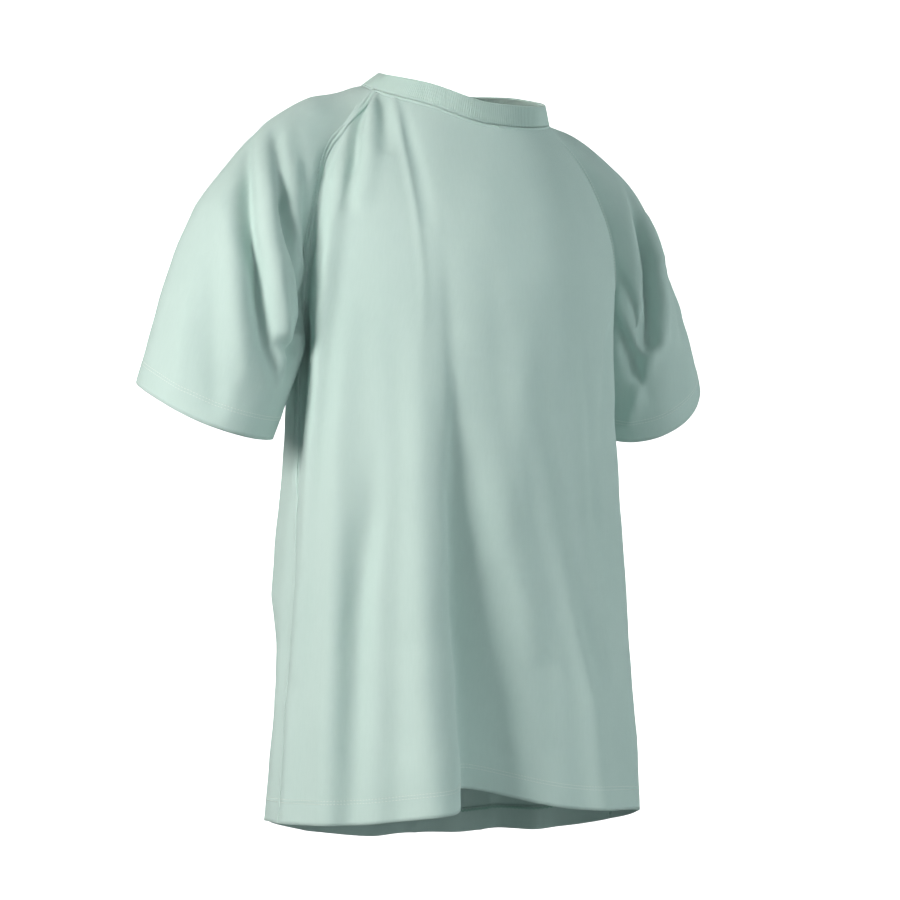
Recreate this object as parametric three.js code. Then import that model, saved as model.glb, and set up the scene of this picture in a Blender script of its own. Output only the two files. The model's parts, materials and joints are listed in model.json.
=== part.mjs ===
// A short-sleeved patient gown in knitted cotton, shaped as it hangs on a wearer: a front and a back panel,
// two raglan sleeves, a ribbed neck band, and the seams, hem stitching, tape and labels that go with them.
// Units are millimetres. +Z is up, the gown faces -Y, and the wearer's left is +X.
// The origin is the middle of the neck seam, where the gown bears on the wearer.
import * as THREE from "three";

// ---- Driving dimensions ------------------------------------------------------------------------------
const NECK_HALF_WIDTH = 100; // neck seam, side to side
const NECK_HALF_DEPTH = 76; // neck seam, front to back
const NECK_TILT = THREE.MathUtils.degToRad(21); // the neck is lower at the front
const NECK_RISE = NECK_HALF_DEPTH * Math.tan(NECK_TILT);
const FRONT_SEAM_ANGLE = 85; // degrees round the neck from the front, where the front raglan seam ends
const BACK_SEAM_ANGLE = 128; // the same for the back raglan seam

const CLOTH = 1.4; // wall that stands for the knitted cloth
const HEM_CLOTH = 2.8; // the hem is folded, so it is twice as thick
const BODY_HEM = 25; // height of the folded hem of the body
const SLEEVE_HEM = 25; // height of the folded hem of a sleeve

const SIDE_HEM_Z = -706; // hem at the side seams
const FRONT_HEM_Z = -704; // hem at the middle of the front
const BACK_HEM_Z = -742; // hem at the middle of the back, which hangs lower
const HEM_HALF_WIDTH = 202; // body at the hem, side to side
const HEM_FRONT_Y = -148; // body at the hem, front
const HEM_BACK_Y = 148; // body at the hem, back
const UNDERARM = new THREE.Vector3(178, 8, -262);
const SIDE_SEAM_SHARE = 0.6; // share of a panel's rows that lies below the underarm

const SLEEVE_HEM_TOP = new THREE.Vector3(329, 40, -284);
const SLEEVE_HEM_BOTTOM = new THREE.Vector3(201, 32, -338);
const SLEEVE_HALF_DEPTH = 66; // half of the sleeve, front to back, at its hem
const ARM_HALF_DEPTH = 68; // the same at the underarm
const SLEEVE_HEM_DROP = 26; // the sleeve's hem hangs this much lower in front than at its middle

const BAND_WIDTH = 22; // ribbed neck band, from seam to top fold
const BAND_LEAN = THREE.MathUtils.degToRad(18); // how far the band leans in towards the neck
const BAND_THICK = 2.4;

const SEAM_RADIUS = 1.25; // sewn ridge of overlocked thread
const SEAM_SIDES = 6;
const SEAM_CLEARANCE = 0.45; // between a seam and a cloth edge that faces it
const RAGLAN_CLEARANCE = 1.45; // the same along a raglan seam, which bends
const ARMPIT_CLEARANCE = 1.15; // the same where the two cloths lie side by side
const NECK_CLEARANCE = 0.75; // the same round the neck seam
const SEAM_GAP = SEAM_RADIUS + SEAM_CLEARANCE; // from a seam's middle to the cloth
const RAGLAN_GAP = SEAM_RADIUS + RAGLAN_CLEARANCE;
const ARMPIT_GAP = SEAM_RADIUS + ARMPIT_CLEARANCE;
const SEAM_TURN = THREE.MathUtils.radToDeg(RAGLAN_GAP / NECK_HALF_WIDTH); // that gap, as a turn of the neck
const NECK_GAP = SEAM_RADIUS + NECK_CLEARANCE; // from the neck seam's middle to the cloth's middle
const SEAM_END = 4; // how far a seam stops short of another seam
const STITCH_RADIUS = 0.5; // raised line of hem stitching
const STITCH_GAP = 0.4; // between the stitching and the cloth under it
const STITCH_DROP = 2; // from the top of the folded hem down to the stitching

const TAPE_WIDTH = 9;
const TAPE_THICK = 0.8;
const TAPE_GAP = 0.35;
const TAPE_HALF_ANGLE = 72; // degrees to each side of the back of the neck
const SIZE_LABEL = { width: 42, height: 26, thick: 0.6 };
const CARE_LABEL = { width: 26, height: 48, thick: 0.6, z: -600 };

const PANEL_ACROSS = 24; // segments across a panel
const ROWS_BELOW = 10; // rows from the hem to the underarm
const ROWS_ABOVE = 16; // rows along a raglan seam
const SLEEVE_ROUND = 22;
const SLEEVE_TUBE_ROWS = 4;
const NECK_ROUND = 48;

// ---- Colours ------------------------------------------------------------------------------------------
const cloth = new THREE.MeshStandardMaterial({ color: 0xb4d3c7, roughness: 0.9, metalness: 0 });
const rib = new THREE.MeshStandardMaterial({ color: 0xacc9be, roughness: 0.92, metalness: 0 });
const thread = new THREE.MeshStandardMaterial({ color: 0xa3c8ba, roughness: 0.7, metalness: 0 });
const label = new THREE.MeshStandardMaterial({ color: 0xf2f4f0, roughness: 0.8, metalness: 0 });

// ---- Curves -------------------------------------------------------------------------------------------
const v3 = (x, y, z) => new THREE.Vector3(x, y, z);
const { clamp, lerp, smoothstep, degToRad } = THREE.MathUtils;

// A smooth function through (key, value) pairs, level with the slope of their neighbours.
function through(pairs) {
  const slope = pairs.map((_, i) => {
    const [a, b] = [pairs[Math.max(i - 1, 0)], pairs[Math.min(i + 1, pairs.length - 1)]];
    return (b[1] - a[1]) / (b[0] - a[0]);
  });
  return (key) => {
    let i = 0;
    while (i < pairs.length - 2 && key > pairs[i + 1][0]) i++;
    const [k0, p0] = pairs[i];
    const [k1, p1] = pairs[i + 1];
    const span = k1 - k0;
    const t = clamp((key - k0) / span, 0, 1);
    const [t2, t3] = [t * t, t * t * t];
    return (
      (2 * t3 - 3 * t2 + 1) * p0 +
      (t3 - 2 * t2 + t) * span * slope[i] +
      (3 * t2 - 2 * t3) * p1 +
      (t3 - t2) * span * slope[i + 1]
    );
  };
}

// A point of the neck seam, by its angle in degrees round from the front.
function neckPoint(degrees) {
  const a = degToRad(degrees);
  return v3(NECK_HALF_WIDTH * Math.sin(a), -NECK_HALF_DEPTH * Math.cos(a), -NECK_RISE * Math.cos(a));
}

// The seams and the shoulder ridge of the left side, each from the underarm to the neck.
const frontSeam = new THREE.CatmullRomCurve3([
  UNDERARM,
  v3(184, -10, -205),
  v3(179, -18, -125),
  v3(152, -6, -52),
  neckPoint(FRONT_SEAM_ANGLE),
]);
const backSeam = new THREE.CatmullRomCurve3([
  UNDERARM,
  v3(186, 32, -205),
  v3(178, 52, -125),
  v3(146, 58, -45),
  neckPoint(BACK_SEAM_ANGLE),
]);
const ridge = new THREE.CatmullRomCurve3([
  v3(309, 34, -204),
  v3(286, 31, -140),
  v3(255, 28, -88),
  v3(213, 26, -42),
  v3(162, 25, -9),
  neckPoint((FRONT_SEAM_ANGLE + BACK_SEAM_ANGLE) / 2),
]);

// The way from a raglan seam out to the sleeve, square to the seam.
function outward(seam, r) {
  const along = seam.getTangentAt(r);
  const out = ridge.getPointAt(r).sub(seam.getPointAt(r));
  return out.addScaledVector(along, -out.dot(along)).normalize();
}

// A cloth edge beside a raglan seam. At the underarm it lies beside the side seam's line, ahead or behind.
// side is -1 for the front; way is -1 for the body's cloth and 1 for the sleeve's.
function clothEdge(seam, side, way, r) {
  const turn = smoothstep(r, 0, 0.12);
  const off = outward(seam, r).multiplyScalar(way * turn);
  off.y += side * (1 - turn);
  return seam.getPointAt(r).addScaledVector(off.normalize(), lerp(SEAM_GAP, RAGLAN_GAP, turn));
}

// ---- Body panels --------------------------------------------------------------------------------------
// Each panel is made of rows that run from one side to the other. v is 0 at the hem, and 1 at the neck.
const sideX = through([[0, HEM_HALF_WIDTH], [0.2, 193], [0.4, 184], [SIDE_SEAM_SHARE, UNDERARM.x]]);
const sideZ = (v) => lerp(SIDE_HEM_Z, UNDERARM.z, v / SIDE_SEAM_SHARE);
const FRONT = {
  side: -1,
  seam: frontSeam,
  middleY: through([[0, HEM_FRONT_Y], [0.2, -137], [0.4, -131], [0.6, -132], [0.76, -127], [0.89, -103],
    [1, -NECK_HALF_DEPTH]]),
  middleZ: through([[0, FRONT_HEM_Z], [0.2, -556], [0.4, -405], [0.6, -254], [0.76, -160], [0.89, -86],
    [1, -NECK_RISE]]),
  // How far round its ellipse a row's end lies, in degrees: 90 at the side seam.
  roundTo: through([[0.6, 90], [0.68, 72], [0.8, 64], [0.92, 72], [1, FRONT_SEAM_ANGLE]]),
};
const BACK = {
  side: 1,
  seam: backSeam,
  middleY: through([[0, HEM_BACK_Y], [0.2, 139], [0.4, 127], [0.6, 128], [0.76, 132], [0.89, 117],
    [1, NECK_HALF_DEPTH]]),
  middleZ: through([[0, BACK_HEM_Z], [0.2, -578], [0.4, -414], [0.6, -256], [0.76, -142], [0.89, -48],
    [1, NECK_RISE]]),
  roundTo: through([[0.6, 90], [0.68, 74], [0.8, 64], [0.92, 56], [1, 180 - BACK_SEAM_ANGLE]]),
};

// The end of a panel's row on the wearer's left, with its seam gap taken off.
function rowEnd(panel, v) {
  if (v <= SIDE_SEAM_SHARE) return v3(sideX(v), UNDERARM.y + panel.side * SEAM_GAP, sideZ(v));
  return clothEdge(panel.seam, panel.side, -1, (v - SIDE_SEAM_SHARE) / (1 - SIDE_SEAM_SHARE));
}

// A point of a panel. across runs from -1, at the wearer's right, to 1.
function panelPoint(panel, across, v) {
  const end = rowEnd(panel, v);
  const full = v <= SIDE_SEAM_SHARE ? Math.PI / 2 : degToRad(panel.roundTo(v));
  const depth = (end.y - panel.middleY(v)) / (1 - Math.cos(full));
  const a = across * full;
  const share = (1 - Math.cos(a)) / (1 - Math.cos(full));
  return v3(
    (end.x / Math.sin(full)) * Math.sin(a),
    panel.middleY(v) + depth * (1 - Math.cos(a)),
    lerp(panel.middleZ(v), end.z, share),
  );
}

// ---- Sleeves ------------------------------------------------------------------------------------------
// A sleeve's rows are arcs of ellipses from its front edge, over the ridge, to its back edge.
// In the tube below the underarm t runs from 0, at the sleeve's hem, to 1, and in the cap from 1 to 2.
const sleeveBottom = (t) =>
  SLEEVE_HEM_BOTTOM.clone().lerp(UNDERARM.clone().addScaledVector(outward(frontSeam, 0), ARMPIT_GAP), t);
const halfDepth = through([[0, ARM_HALF_DEPTH], [0.15, 66], [0.3, 61], [0.5, 51], [1, 40]]);
const openTo = through([[0.3, 60], [0.5, 44], [0.7, 18], [0.85, -12], [1, -52]]);

function sleeveRow(t) {
  if (t <= 1) {
    const bottom = sleeveBottom(t);
    const top = SLEEVE_HEM_TOP.clone().lerp(ridge.getPointAt(0), t);
    const depth = lerp(SLEEVE_HALF_DEPTH, ARM_HALF_DEPTH, t);
    const middle = bottom.clone().lerp(top, 0.5);
    return { middle, p: v3(0, -depth, -SLEEVE_HEM_DROP * (1 - t)), q: top.sub(middle), open: Math.PI / 2 - SEAM_GAP / depth };
  }
  const r = t - 1;
  const front = clothEdge(frontSeam, -1, 1, r);
  const back = clothEdge(backSeam, 1, 1, r);
  const top = ridge.getPointAt(r);
  const half = front.distanceTo(back) / 2;
  const closed = Math.acos(clamp(half / halfDepth(r), 0, 1));
  const open = lerp(closed, degToRad(openTo(r)), smoothstep(r, 0.35, 0.7));
  const p = front.clone().sub(back).multiplyScalar(0.5 / Math.cos(open));
  const chord = front.clone().lerp(back, 0.5);
  const q = top.clone().sub(chord).multiplyScalar(1 / (1 + Math.sin(open)));
  return { middle: top.sub(q), p, q, open };
}

// A point of the left sleeve. round runs from 0, at the front edge, to 1, at the back edge.
function arcPoint({ middle, p, q, open }, round) {
  const a = lerp(-open, Math.PI + open, round);
  return middle.clone().addScaledVector(p, Math.cos(a)).addScaledVector(q, Math.sin(a));
}
const lastRow = sleeveRow(2);
function sleevePoint(round, t) {
  const onNeck = neckPoint(lerp(FRONT_SEAM_ANGLE + SEAM_TURN, BACK_SEAM_ANGLE - SEAM_TURN, round));
  // The last stretch takes up the curve of the neck seam.
  const change = onNeck.sub(arcPoint(lastRow, round));
  return arcPoint(sleeveRow(t), round).addScaledVector(change, smoothstep(t, 1.96 - 0.9 * round * (1 - round), 2));
}

// ---- Solids -------------------------------------------------------------------------------------------
// Bends a finely cut box onto a surface: the box's X and Y run over the surface, and its Z is the wall.
function bentSheet(surface, across, along, thickness) {
  const step = 1e-3;
  const box = new THREE.BoxGeometry(1, 1, 1, across.length - 1, along.length - 1, 1);
  const place = box.getAttribute("position");
  const pick = (list, share) => list[Math.round(share * (list.length - 1))];
  for (let i = 0; i < place.count; i++) {
    const u = pick(across, place.getX(i) + 0.5);
    const v = pick(along, place.getY(i) + 0.5);
    const [u0, u1] = [Math.max(u - step, across[0]), Math.min(u + step, across.at(-1))];
    const [w0, w1] = [Math.max(v - step, along[0]), Math.min(v + step, along.at(-1))];
    const du = surface(u1, v).sub(surface(u0, v));
    const dv = surface(u, w1).sub(surface(u, w0));
    const point = surface(u, v).addScaledVector(du.cross(dv).normalize(), place.getZ(i) * thickness(v));
    place.setXYZ(i, point.x, point.y, point.z);
  }
  return facingOut(box);
}

// Draws a surface in, so that it ends a gap short of the neck seam. end is the surface's last row.
function shortOfNeck(surface, end) {
  const step = 0.01;
  return (u, v) => {
    const speed = surface(u, end).distanceTo(surface(u, end - step)) / step;
    return surface(u, v * (1 - NECK_GAP / speed / end));
  };
}

// Turns a closed geometry's faces round if they point inwards.
function facingOut(geometry) {
  const place = geometry.getAttribute("position");
  const index = geometry.index;
  const [a, b, c] = [v3(0, 0, 0), v3(0, 0, 0), v3(0, 0, 0)];
  let volume = 0;
  for (let i = 0; i < index.count; i += 3) {
    a.fromBufferAttribute(place, index.getX(i));
    b.fromBufferAttribute(place, index.getX(i + 1));
    c.fromBufferAttribute(place, index.getX(i + 2));
    volume += a.dot(b.cross(c));
  }
  if (volume < 0) {
    for (let i = 0; i < index.count; i += 3) {
      const second = index.getX(i + 1);
      index.setX(i + 1, index.getX(i + 2));
      index.setX(i + 2, second);
    }
  }
  return geometry;
}

// A closed ring: a torus whose points are set by place(share round the ring, angle round its section).
function bentRing(place, round, section) {
  const ring = new THREE.TorusGeometry(1, 0.5, section, round);
  const [uv, position] = [ring.getAttribute("uv"), ring.getAttribute("position")];
  for (let i = 0; i < uv.count; i++) {
    const point = place(uv.getX(i) % 1, 2 * Math.PI * (uv.getY(i) % 1));
    position.setXYZ(i, point.x, point.y, point.z);
  }
  return facingOut(ring);
}

// A seam: a ridge of thread along part of a curve, from one share of its length to another.
class PartOf extends THREE.Curve {
  constructor(curve, from, to) {
    super();
    Object.assign(this, { curve, from, to });
  }
  getPoint(t, target = new THREE.Vector3()) {
    return target.copy(this.curve.getPointAt(lerp(this.from, this.to, t)));
  }
}
function seamRidge(curve, steps) {
  const end = SEAM_END / curve.getLength();
  const section = new THREE.Shape(
    Array.from({ length: SEAM_SIDES }, (_, i) => {
      const a = (2 * Math.PI * i) / SEAM_SIDES;
      return new THREE.Vector2(SEAM_RADIUS * Math.cos(a), SEAM_RADIUS * Math.sin(a));
    }),
  );
  return new THREE.ExtrudeGeometry(section, { steps, extrudePath: new PartOf(curve, end, 1 - end) });
}

// Evenly spaced numbers from one value to another.
const spaced = (from, to, steps) => Array.from({ length: steps + 1 }, (_, i) => lerp(from, to, i / steps));
const gown = new THREE.Group();

function add(name, geometry, material, mirrored = false) {
  const mesh = new THREE.Mesh(geometry, material);
  mesh.name = name;
  if (mirrored) mesh.scale.x = -1;
  gown.add(mesh);
  return mesh;
}

// A piece that the gown has on both sides, made for the wearer's left and mirrored for the right.
function addPair(name, geometry, material) {
  add(`left_${name}`, geometry, material);
  add(`right_${name}`, geometry, material, true);
}

// Panels. A row lies at the top of the folded hem, so that the wall steps there.
const hemShare = (BODY_HEM / (UNDERARM.z - SIDE_HEM_Z)) * SIDE_SEAM_SHARE;
const panelRows = [
  0,
  hemShare,
  ...spaced(hemShare * 1.2, SIDE_SEAM_SHARE, ROWS_BELOW),
  ...spaced(SIDE_SEAM_SHARE, 1, ROWS_ABOVE).slice(1),
];
const panelWall = (v) => (v <= hemShare ? HEM_CLOTH : CLOTH);
for (const [name, panel] of [["front_panel", FRONT], ["back_panel", BACK]]) {
  const surface = shortOfNeck((u, v) => panelPoint(panel, u, v), 1);
  add(name, bentSheet(surface, spaced(-1, 1, PANEL_ACROSS), panelRows, panelWall), cloth);
}

// Sleeves.
const tubeLength = SLEEVE_HEM_TOP.distanceTo(ridge.getPointAt(0));
const sleeveHemShare = SLEEVE_HEM / tubeLength;
const sleeveRows = [
  0,
  sleeveHemShare,
  ...spaced(sleeveHemShare * 1.12, 1, SLEEVE_TUBE_ROWS),
  ...spaced(1, 2, ROWS_ABOVE).slice(1),
];
const sleeveWall = (t) => (t <= sleeveHemShare ? HEM_CLOTH : CLOTH);
const sleeve = shortOfNeck(sleevePoint, 2);
addPair("sleeve", bentSheet(sleeve, spaced(0, 1, SLEEVE_ROUND), sleeveRows, sleeveWall), cloth);

// Neck band: a flattened ring that stands on the neck seam and leans in. Its section is a rounded strip.
const neckUp = v3(0, -Math.sin(NECK_TILT), Math.cos(NECK_TILT));
const neckIn = (degrees) => neckPoint(degrees).normalize().negate();
function bandPoint(share, section) {
  const degrees = 360 * share;
  const up = neckUp.clone().multiplyScalar(Math.cos(BAND_LEAN));
  up.addScaledVector(neckIn(degrees), Math.sin(BAND_LEAN));
  const through_ = neckUp.clone().multiplyScalar(Math.sin(BAND_LEAN));
  through_.addScaledVector(neckIn(degrees), -Math.cos(BAND_LEAN));
  const half = (BAND_WIDTH - SEAM_GAP) / 2;
  const along = SEAM_GAP + half - half * Math.cos(section);
  const wall = (BAND_THICK / 2) * Math.sign(Math.sin(section)) * Math.min(1, 2 * Math.abs(Math.sin(section)));
  return neckPoint(degrees).addScaledVector(up, along).addScaledVector(through_, wall);
}
add("neck_band", bentRing(bandPoint, NECK_ROUND, 8), rib);
add(
  "neck_seam",
  bentRing(
    (share, section) =>
      neckPoint(360 * share)
        .addScaledVector(neckUp, SEAM_RADIUS * Math.sin(section))
        .addScaledVector(neckIn(360 * share), SEAM_RADIUS * Math.cos(section)),
    NECK_ROUND,
    SEAM_SIDES,
  ),
  thread,
);

// Tape over the neck seam at the back, inside, with the size label sewn under its middle.
const tapeIn = SEAM_RADIUS + TAPE_GAP + TAPE_THICK / 2;
function tapePoint(u, v) {
  const degrees = 180 + u * TAPE_HALF_ANGLE;
  return neckPoint(degrees).addScaledVector(neckIn(degrees), tapeIn).addScaledVector(neckUp, v);
}
add(
  "neck_tape",
  bentSheet(tapePoint, spaced(-1, 1, 20), [-TAPE_WIDTH, 0 - TAPE_GAP], () => TAPE_THICK),
  cloth,
);
const sizeLabel = add(
  "size_label",
  new THREE.BoxGeometry(SIZE_LABEL.width, SIZE_LABEL.thick, SIZE_LABEL.height),
  label,
);
const labelTop = tapePoint(0, -TAPE_GAP).addScaledVector(neckIn(180), TAPE_THICK / 2);
const labelTurn = Math.asin(SIZE_LABEL.width / 2 / NECK_HALF_WIDTH); // the tape curves in behind the label
sizeLabel.position.set(
  0,
  labelTop.y - NECK_HALF_DEPTH * (1 - Math.cos(labelTurn)) - TAPE_GAP - SIZE_LABEL.thick / 2,
  labelTop.z - TAPE_GAP - SIZE_LABEL.height / 2,
);

// Care label, sewn into the left side seam, inside. It hangs from its upper edge, where the gown is narrower.
const careTop = CARE_LABEL.z + CARE_LABEL.height / 2;
const careShare = ((careTop - SIDE_HEM_Z) / (UNDERARM.z - SIDE_HEM_Z)) * SIDE_SEAM_SHARE;
const careLabel = add(
  "care_label",
  new THREE.BoxGeometry(CARE_LABEL.width, CARE_LABEL.thick, CARE_LABEL.height),
  label,
);
careLabel.position.set(
  sideX(careShare) - SEAM_RADIUS - SEAM_CLEARANCE - CARE_LABEL.width / 2,
  UNDERARM.y,
  CARE_LABEL.z,
);

// Seams.
const sideSeam = new THREE.CatmullRomCurve3(
  spaced(0, SIDE_SEAM_SHARE, ROWS_BELOW).map((v) => v3(sideX(v), UNDERARM.y, sideZ(v))),
);
const sleeveSeam = new THREE.CatmullRomCurve3(spaced(0, 1, SLEEVE_TUBE_ROWS).map(sleeveBottom));
addPair("front_raglan_seam", seamRidge(frontSeam, 2 * ROWS_ABOVE), thread);
addPair("back_raglan_seam", seamRidge(backSeam, 2 * ROWS_ABOVE), thread);
addPair("side_seam", seamRidge(sideSeam, ROWS_BELOW), thread);
addPair("underarm_seam", seamRidge(sleeveSeam, SLEEVE_TUBE_ROWS), thread);

// Hem stitching: a raised line round the outside at the top of each folded hem.
const stitchOut = HEM_CLOTH / 2 + STITCH_GAP + STITCH_RADIUS;
function bodyHemPoint(share, section) {
  const step = Math.round(share * 2 * (PANEL_ACROSS + 1));
  const panel = step <= PANEL_ACROSS ? FRONT : BACK;
  const across = step <= PANEL_ACROSS ? (2 * step) / PANEL_ACROSS - 1 : 3 - (2 * (step - 1)) / PANEL_ACROSS;
  const small = 0.01;
  const point = panelPoint(panel, across, hemShare);
  const along = panelPoint(panel, across + (across < 0 ? small : -small), hemShare).sub(point);
  const up = panelPoint(panel, across, hemShare + small).sub(point).normalize();
  const out = along.cross(up).multiplyScalar(across < 0 ? 1 : -1).normalize();
  if (panel === BACK) out.negate();
  return point
    .addScaledVector(out, stitchOut + STITCH_RADIUS * Math.cos(section))
    .addScaledVector(up, STITCH_RADIUS * Math.sin(section) - STITCH_DROP);
}
add("body_hem_stitching", bentRing(bodyHemPoint, 2 * (PANEL_ACROSS + 1), 5), thread);
function sleeveHemPoint(share, section) {
  const { middle, p, q } = sleeveRow(sleeveHemShare * 0.92);
  const a = 2 * Math.PI * share;
  const point = p.clone().multiplyScalar(Math.cos(a)).addScaledVector(q, Math.sin(a));
  const out = point.clone().normalize();
  const along = p.clone().cross(q).normalize();
  return middle
    .clone()
    .add(point)
    .addScaledVector(out, stitchOut + STITCH_RADIUS * Math.cos(section))
    .addScaledVector(along, STITCH_RADIUS * Math.sin(section));
}
addPair("sleeve_hem_stitching", bentRing(sleeveHemPoint, 2 * SLEEVE_ROUND, 5), thread);

export default gown;
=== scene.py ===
# %% [markdown]
# # A knitted patient gown, made in Blender
# The gown is a long, short-sleeved pull-on top in soft cotton jersey. It has a front and a back, two raglan
# sleeves that run up to the neck, a ribbed neck band, and hems that are folded up and stitched.
# The simple solids of the gown are loaded first. Everything that is made here fits over them, in metres.

# %% Load the gown's solids
import json
import math

import bmesh
import bpy
import numpy as np
from mathutils import Matrix, Vector, noise
from mathutils.bvhtree import BVHTree
from mathutils.kdtree import KDTree

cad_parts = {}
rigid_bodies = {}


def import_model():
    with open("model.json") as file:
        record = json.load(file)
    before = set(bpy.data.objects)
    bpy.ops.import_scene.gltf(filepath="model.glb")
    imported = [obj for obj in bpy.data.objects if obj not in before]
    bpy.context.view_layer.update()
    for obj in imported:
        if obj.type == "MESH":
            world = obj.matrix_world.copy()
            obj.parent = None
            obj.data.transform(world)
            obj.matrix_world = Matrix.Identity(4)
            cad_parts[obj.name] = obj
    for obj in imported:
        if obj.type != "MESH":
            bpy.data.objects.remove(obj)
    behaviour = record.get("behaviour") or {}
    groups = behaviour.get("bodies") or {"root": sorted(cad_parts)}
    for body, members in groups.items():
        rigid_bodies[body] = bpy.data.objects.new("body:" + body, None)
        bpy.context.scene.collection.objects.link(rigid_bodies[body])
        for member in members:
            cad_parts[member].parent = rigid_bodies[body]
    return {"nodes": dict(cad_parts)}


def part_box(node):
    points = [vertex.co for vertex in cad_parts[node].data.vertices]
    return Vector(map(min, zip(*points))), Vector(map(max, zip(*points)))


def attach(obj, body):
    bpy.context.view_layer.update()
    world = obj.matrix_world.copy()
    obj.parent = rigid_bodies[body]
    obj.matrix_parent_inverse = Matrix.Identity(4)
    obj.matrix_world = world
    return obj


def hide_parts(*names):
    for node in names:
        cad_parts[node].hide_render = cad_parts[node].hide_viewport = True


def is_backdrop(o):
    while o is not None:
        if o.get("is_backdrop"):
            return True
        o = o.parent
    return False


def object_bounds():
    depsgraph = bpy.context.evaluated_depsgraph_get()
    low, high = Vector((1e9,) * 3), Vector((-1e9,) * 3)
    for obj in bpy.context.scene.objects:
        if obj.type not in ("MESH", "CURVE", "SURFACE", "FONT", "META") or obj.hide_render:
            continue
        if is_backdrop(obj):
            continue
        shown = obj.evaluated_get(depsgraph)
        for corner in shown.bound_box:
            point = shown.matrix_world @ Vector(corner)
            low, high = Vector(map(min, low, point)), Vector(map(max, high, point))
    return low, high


for left_over in list(bpy.data.objects):
    bpy.data.objects.remove(left_over)
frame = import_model()
solid_low, solid_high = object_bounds()
print("solids:", sorted(frame["nodes"]), [round(h - l, 3) for l, h in zip(solid_low, solid_high)])

# %% [markdown]
# ## The camera
# The camera stands a third of the way round to the wearer's right, level with the waist, and looks up a
# little. A long lens keeps the hem and the shoulders at their true proportions.

# %% Place the camera
turn = math.radians(33)
CAMERA_AWAY, CAMERA_HEIGHT, LOOK_UP, LOOK_ASIDE = 2.4, -0.444, math.radians(2.387), math.radians(0.143)
forward = Vector((math.sin(turn), math.cos(turn), 0))
camera = bpy.data.objects.new("camera", bpy.data.cameras.new("camera"))
bpy.context.scene.collection.objects.link(camera)
camera.location = -CAMERA_AWAY * forward + Vector((0, 0, CAMERA_HEIGHT))
camera.data.lens = 96
camera.data.sensor_width = 36
camera.rotation_euler = (math.pi / 2 + LOOK_UP, 0, -turn + LOOK_ASIDE)
bpy.context.scene.camera = camera
print("camera at", [round(c, 3) for c in camera.location])

# %% [markdown]
# ## How the gown is cut
# A garment is drawn by its seam lines, so they come first: the neck seam, the two raglan seams of a sleeve,
# and the ridge of the shoulder between them. All of these are in millimetres, as a cutter works.
# A smooth curve through a few points is enough for each, and both sides of the gown share them.

# %% Seam lines
NECK_HALF_WIDTH, NECK_HALF_DEPTH = 100, 76
NECK_TILT = math.radians(21)  # the neck opening slopes down towards the front
NECK_RISE = NECK_HALF_DEPTH * math.tan(NECK_TILT)
FRONT_SEAM_ANGLE, BACK_SEAM_ANGLE = 85, 128
BACK_NECK_SAG, RIGHT_NECK_LIFT = 20, 10
UNDERARM = np.array([178.0, 8, -262])
SIDE_SEAM_SHARE, SIDE_HEM_Z = 0.6, -706


def smooth_line(points):
    """A curve through points. It takes shares of its length from 0 to 1, and gives places."""
    p = [np.array(q, float) for q in points]
    p = [2 * p[0] - p[1], *p, 2 * p[-1] - p[-2]]
    s = np.linspace(0, 1, 60, endpoint=False)[:, None]
    run = []
    for a, b, c, d in zip(p, p[1:], p[2:], p[3:]):
        ab, bc, cd = (np.linalg.norm(y - x) ** 0.5 for x, y in ((a, b), (b, c), (c, d)))
        leave = ((b - a) / ab - (c - a) / (ab + bc) + (c - b) / bc) * bc
        reach = ((c - b) / bc - (d - b) / (bc + cd) + (d - c) / cd) * bc
        run.append((2 * s**3 - 3 * s**2 + 1) * b + (s**3 - 2 * s**2 + s) * leave)
        run[-1] += (3 * s**2 - 2 * s**3) * c + (s**3 - s**2) * reach
    run = np.vstack([*run, p[-2][None]])
    length = np.r_[0, np.cumsum(np.linalg.norm(np.diff(run, axis=0), axis=1))]
    return lambda share: np.array([np.interp(share * length[-1], length, run[:, k]) for k in range(3)])


def neck_point(degrees):
    """A point of the neck seam. Its back sags and its right side sits higher, as an empty neck does."""
    a = math.radians(degrees)
    t = min(max((-math.sin(a) - 0.1) / 0.7, 0), 1)
    sag = BACK_NECK_SAG * max(0, -math.cos(a)) ** 2 - RIGHT_NECK_LIFT * t * t * (3 - 2 * t)
    return np.array(
        [NECK_HALF_WIDTH * math.sin(a), -NECK_HALF_DEPTH * math.cos(a), -NECK_RISE * math.cos(a) - sag]
    )


front_seam = smooth_line(
    [UNDERARM, (184, -10, -205), (179, -18, -125), (152, -6, -52), neck_point(FRONT_SEAM_ANGLE)]
)
back_seam = smooth_line(
    [UNDERARM, (186, 32, -205), (178, 52, -125), (146, 58, -45), neck_point(BACK_SEAM_ANGLE)]
)
shoulder_ridge = smooth_line(
    [(309, 34, -204), (286, 31, -140), (255, 28, -88), (213, 26, -42), (162, 25, -9)]
    + [neck_point((FRONT_SEAM_ANGLE + BACK_SEAM_ANGLE) / 2)]
)
print("raglan seam starts at", front_seam(0).round(), "and ends at", front_seam(1).round())

# %% [markdown]
# ## The shape of the panels
# A panel is a stack of rows that run from one side to the other, each part of an ellipse. Below the
# underarm a row ends at the side seam, and above it at the raglan seam. The rows are close enough
# together, about 8 mm, for the cloth to be draped later.

# %% Rows of a panel
ROWS_BELOW, ROWS_ABOVE, PANEL_COLUMNS = 60, 38, 76


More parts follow.
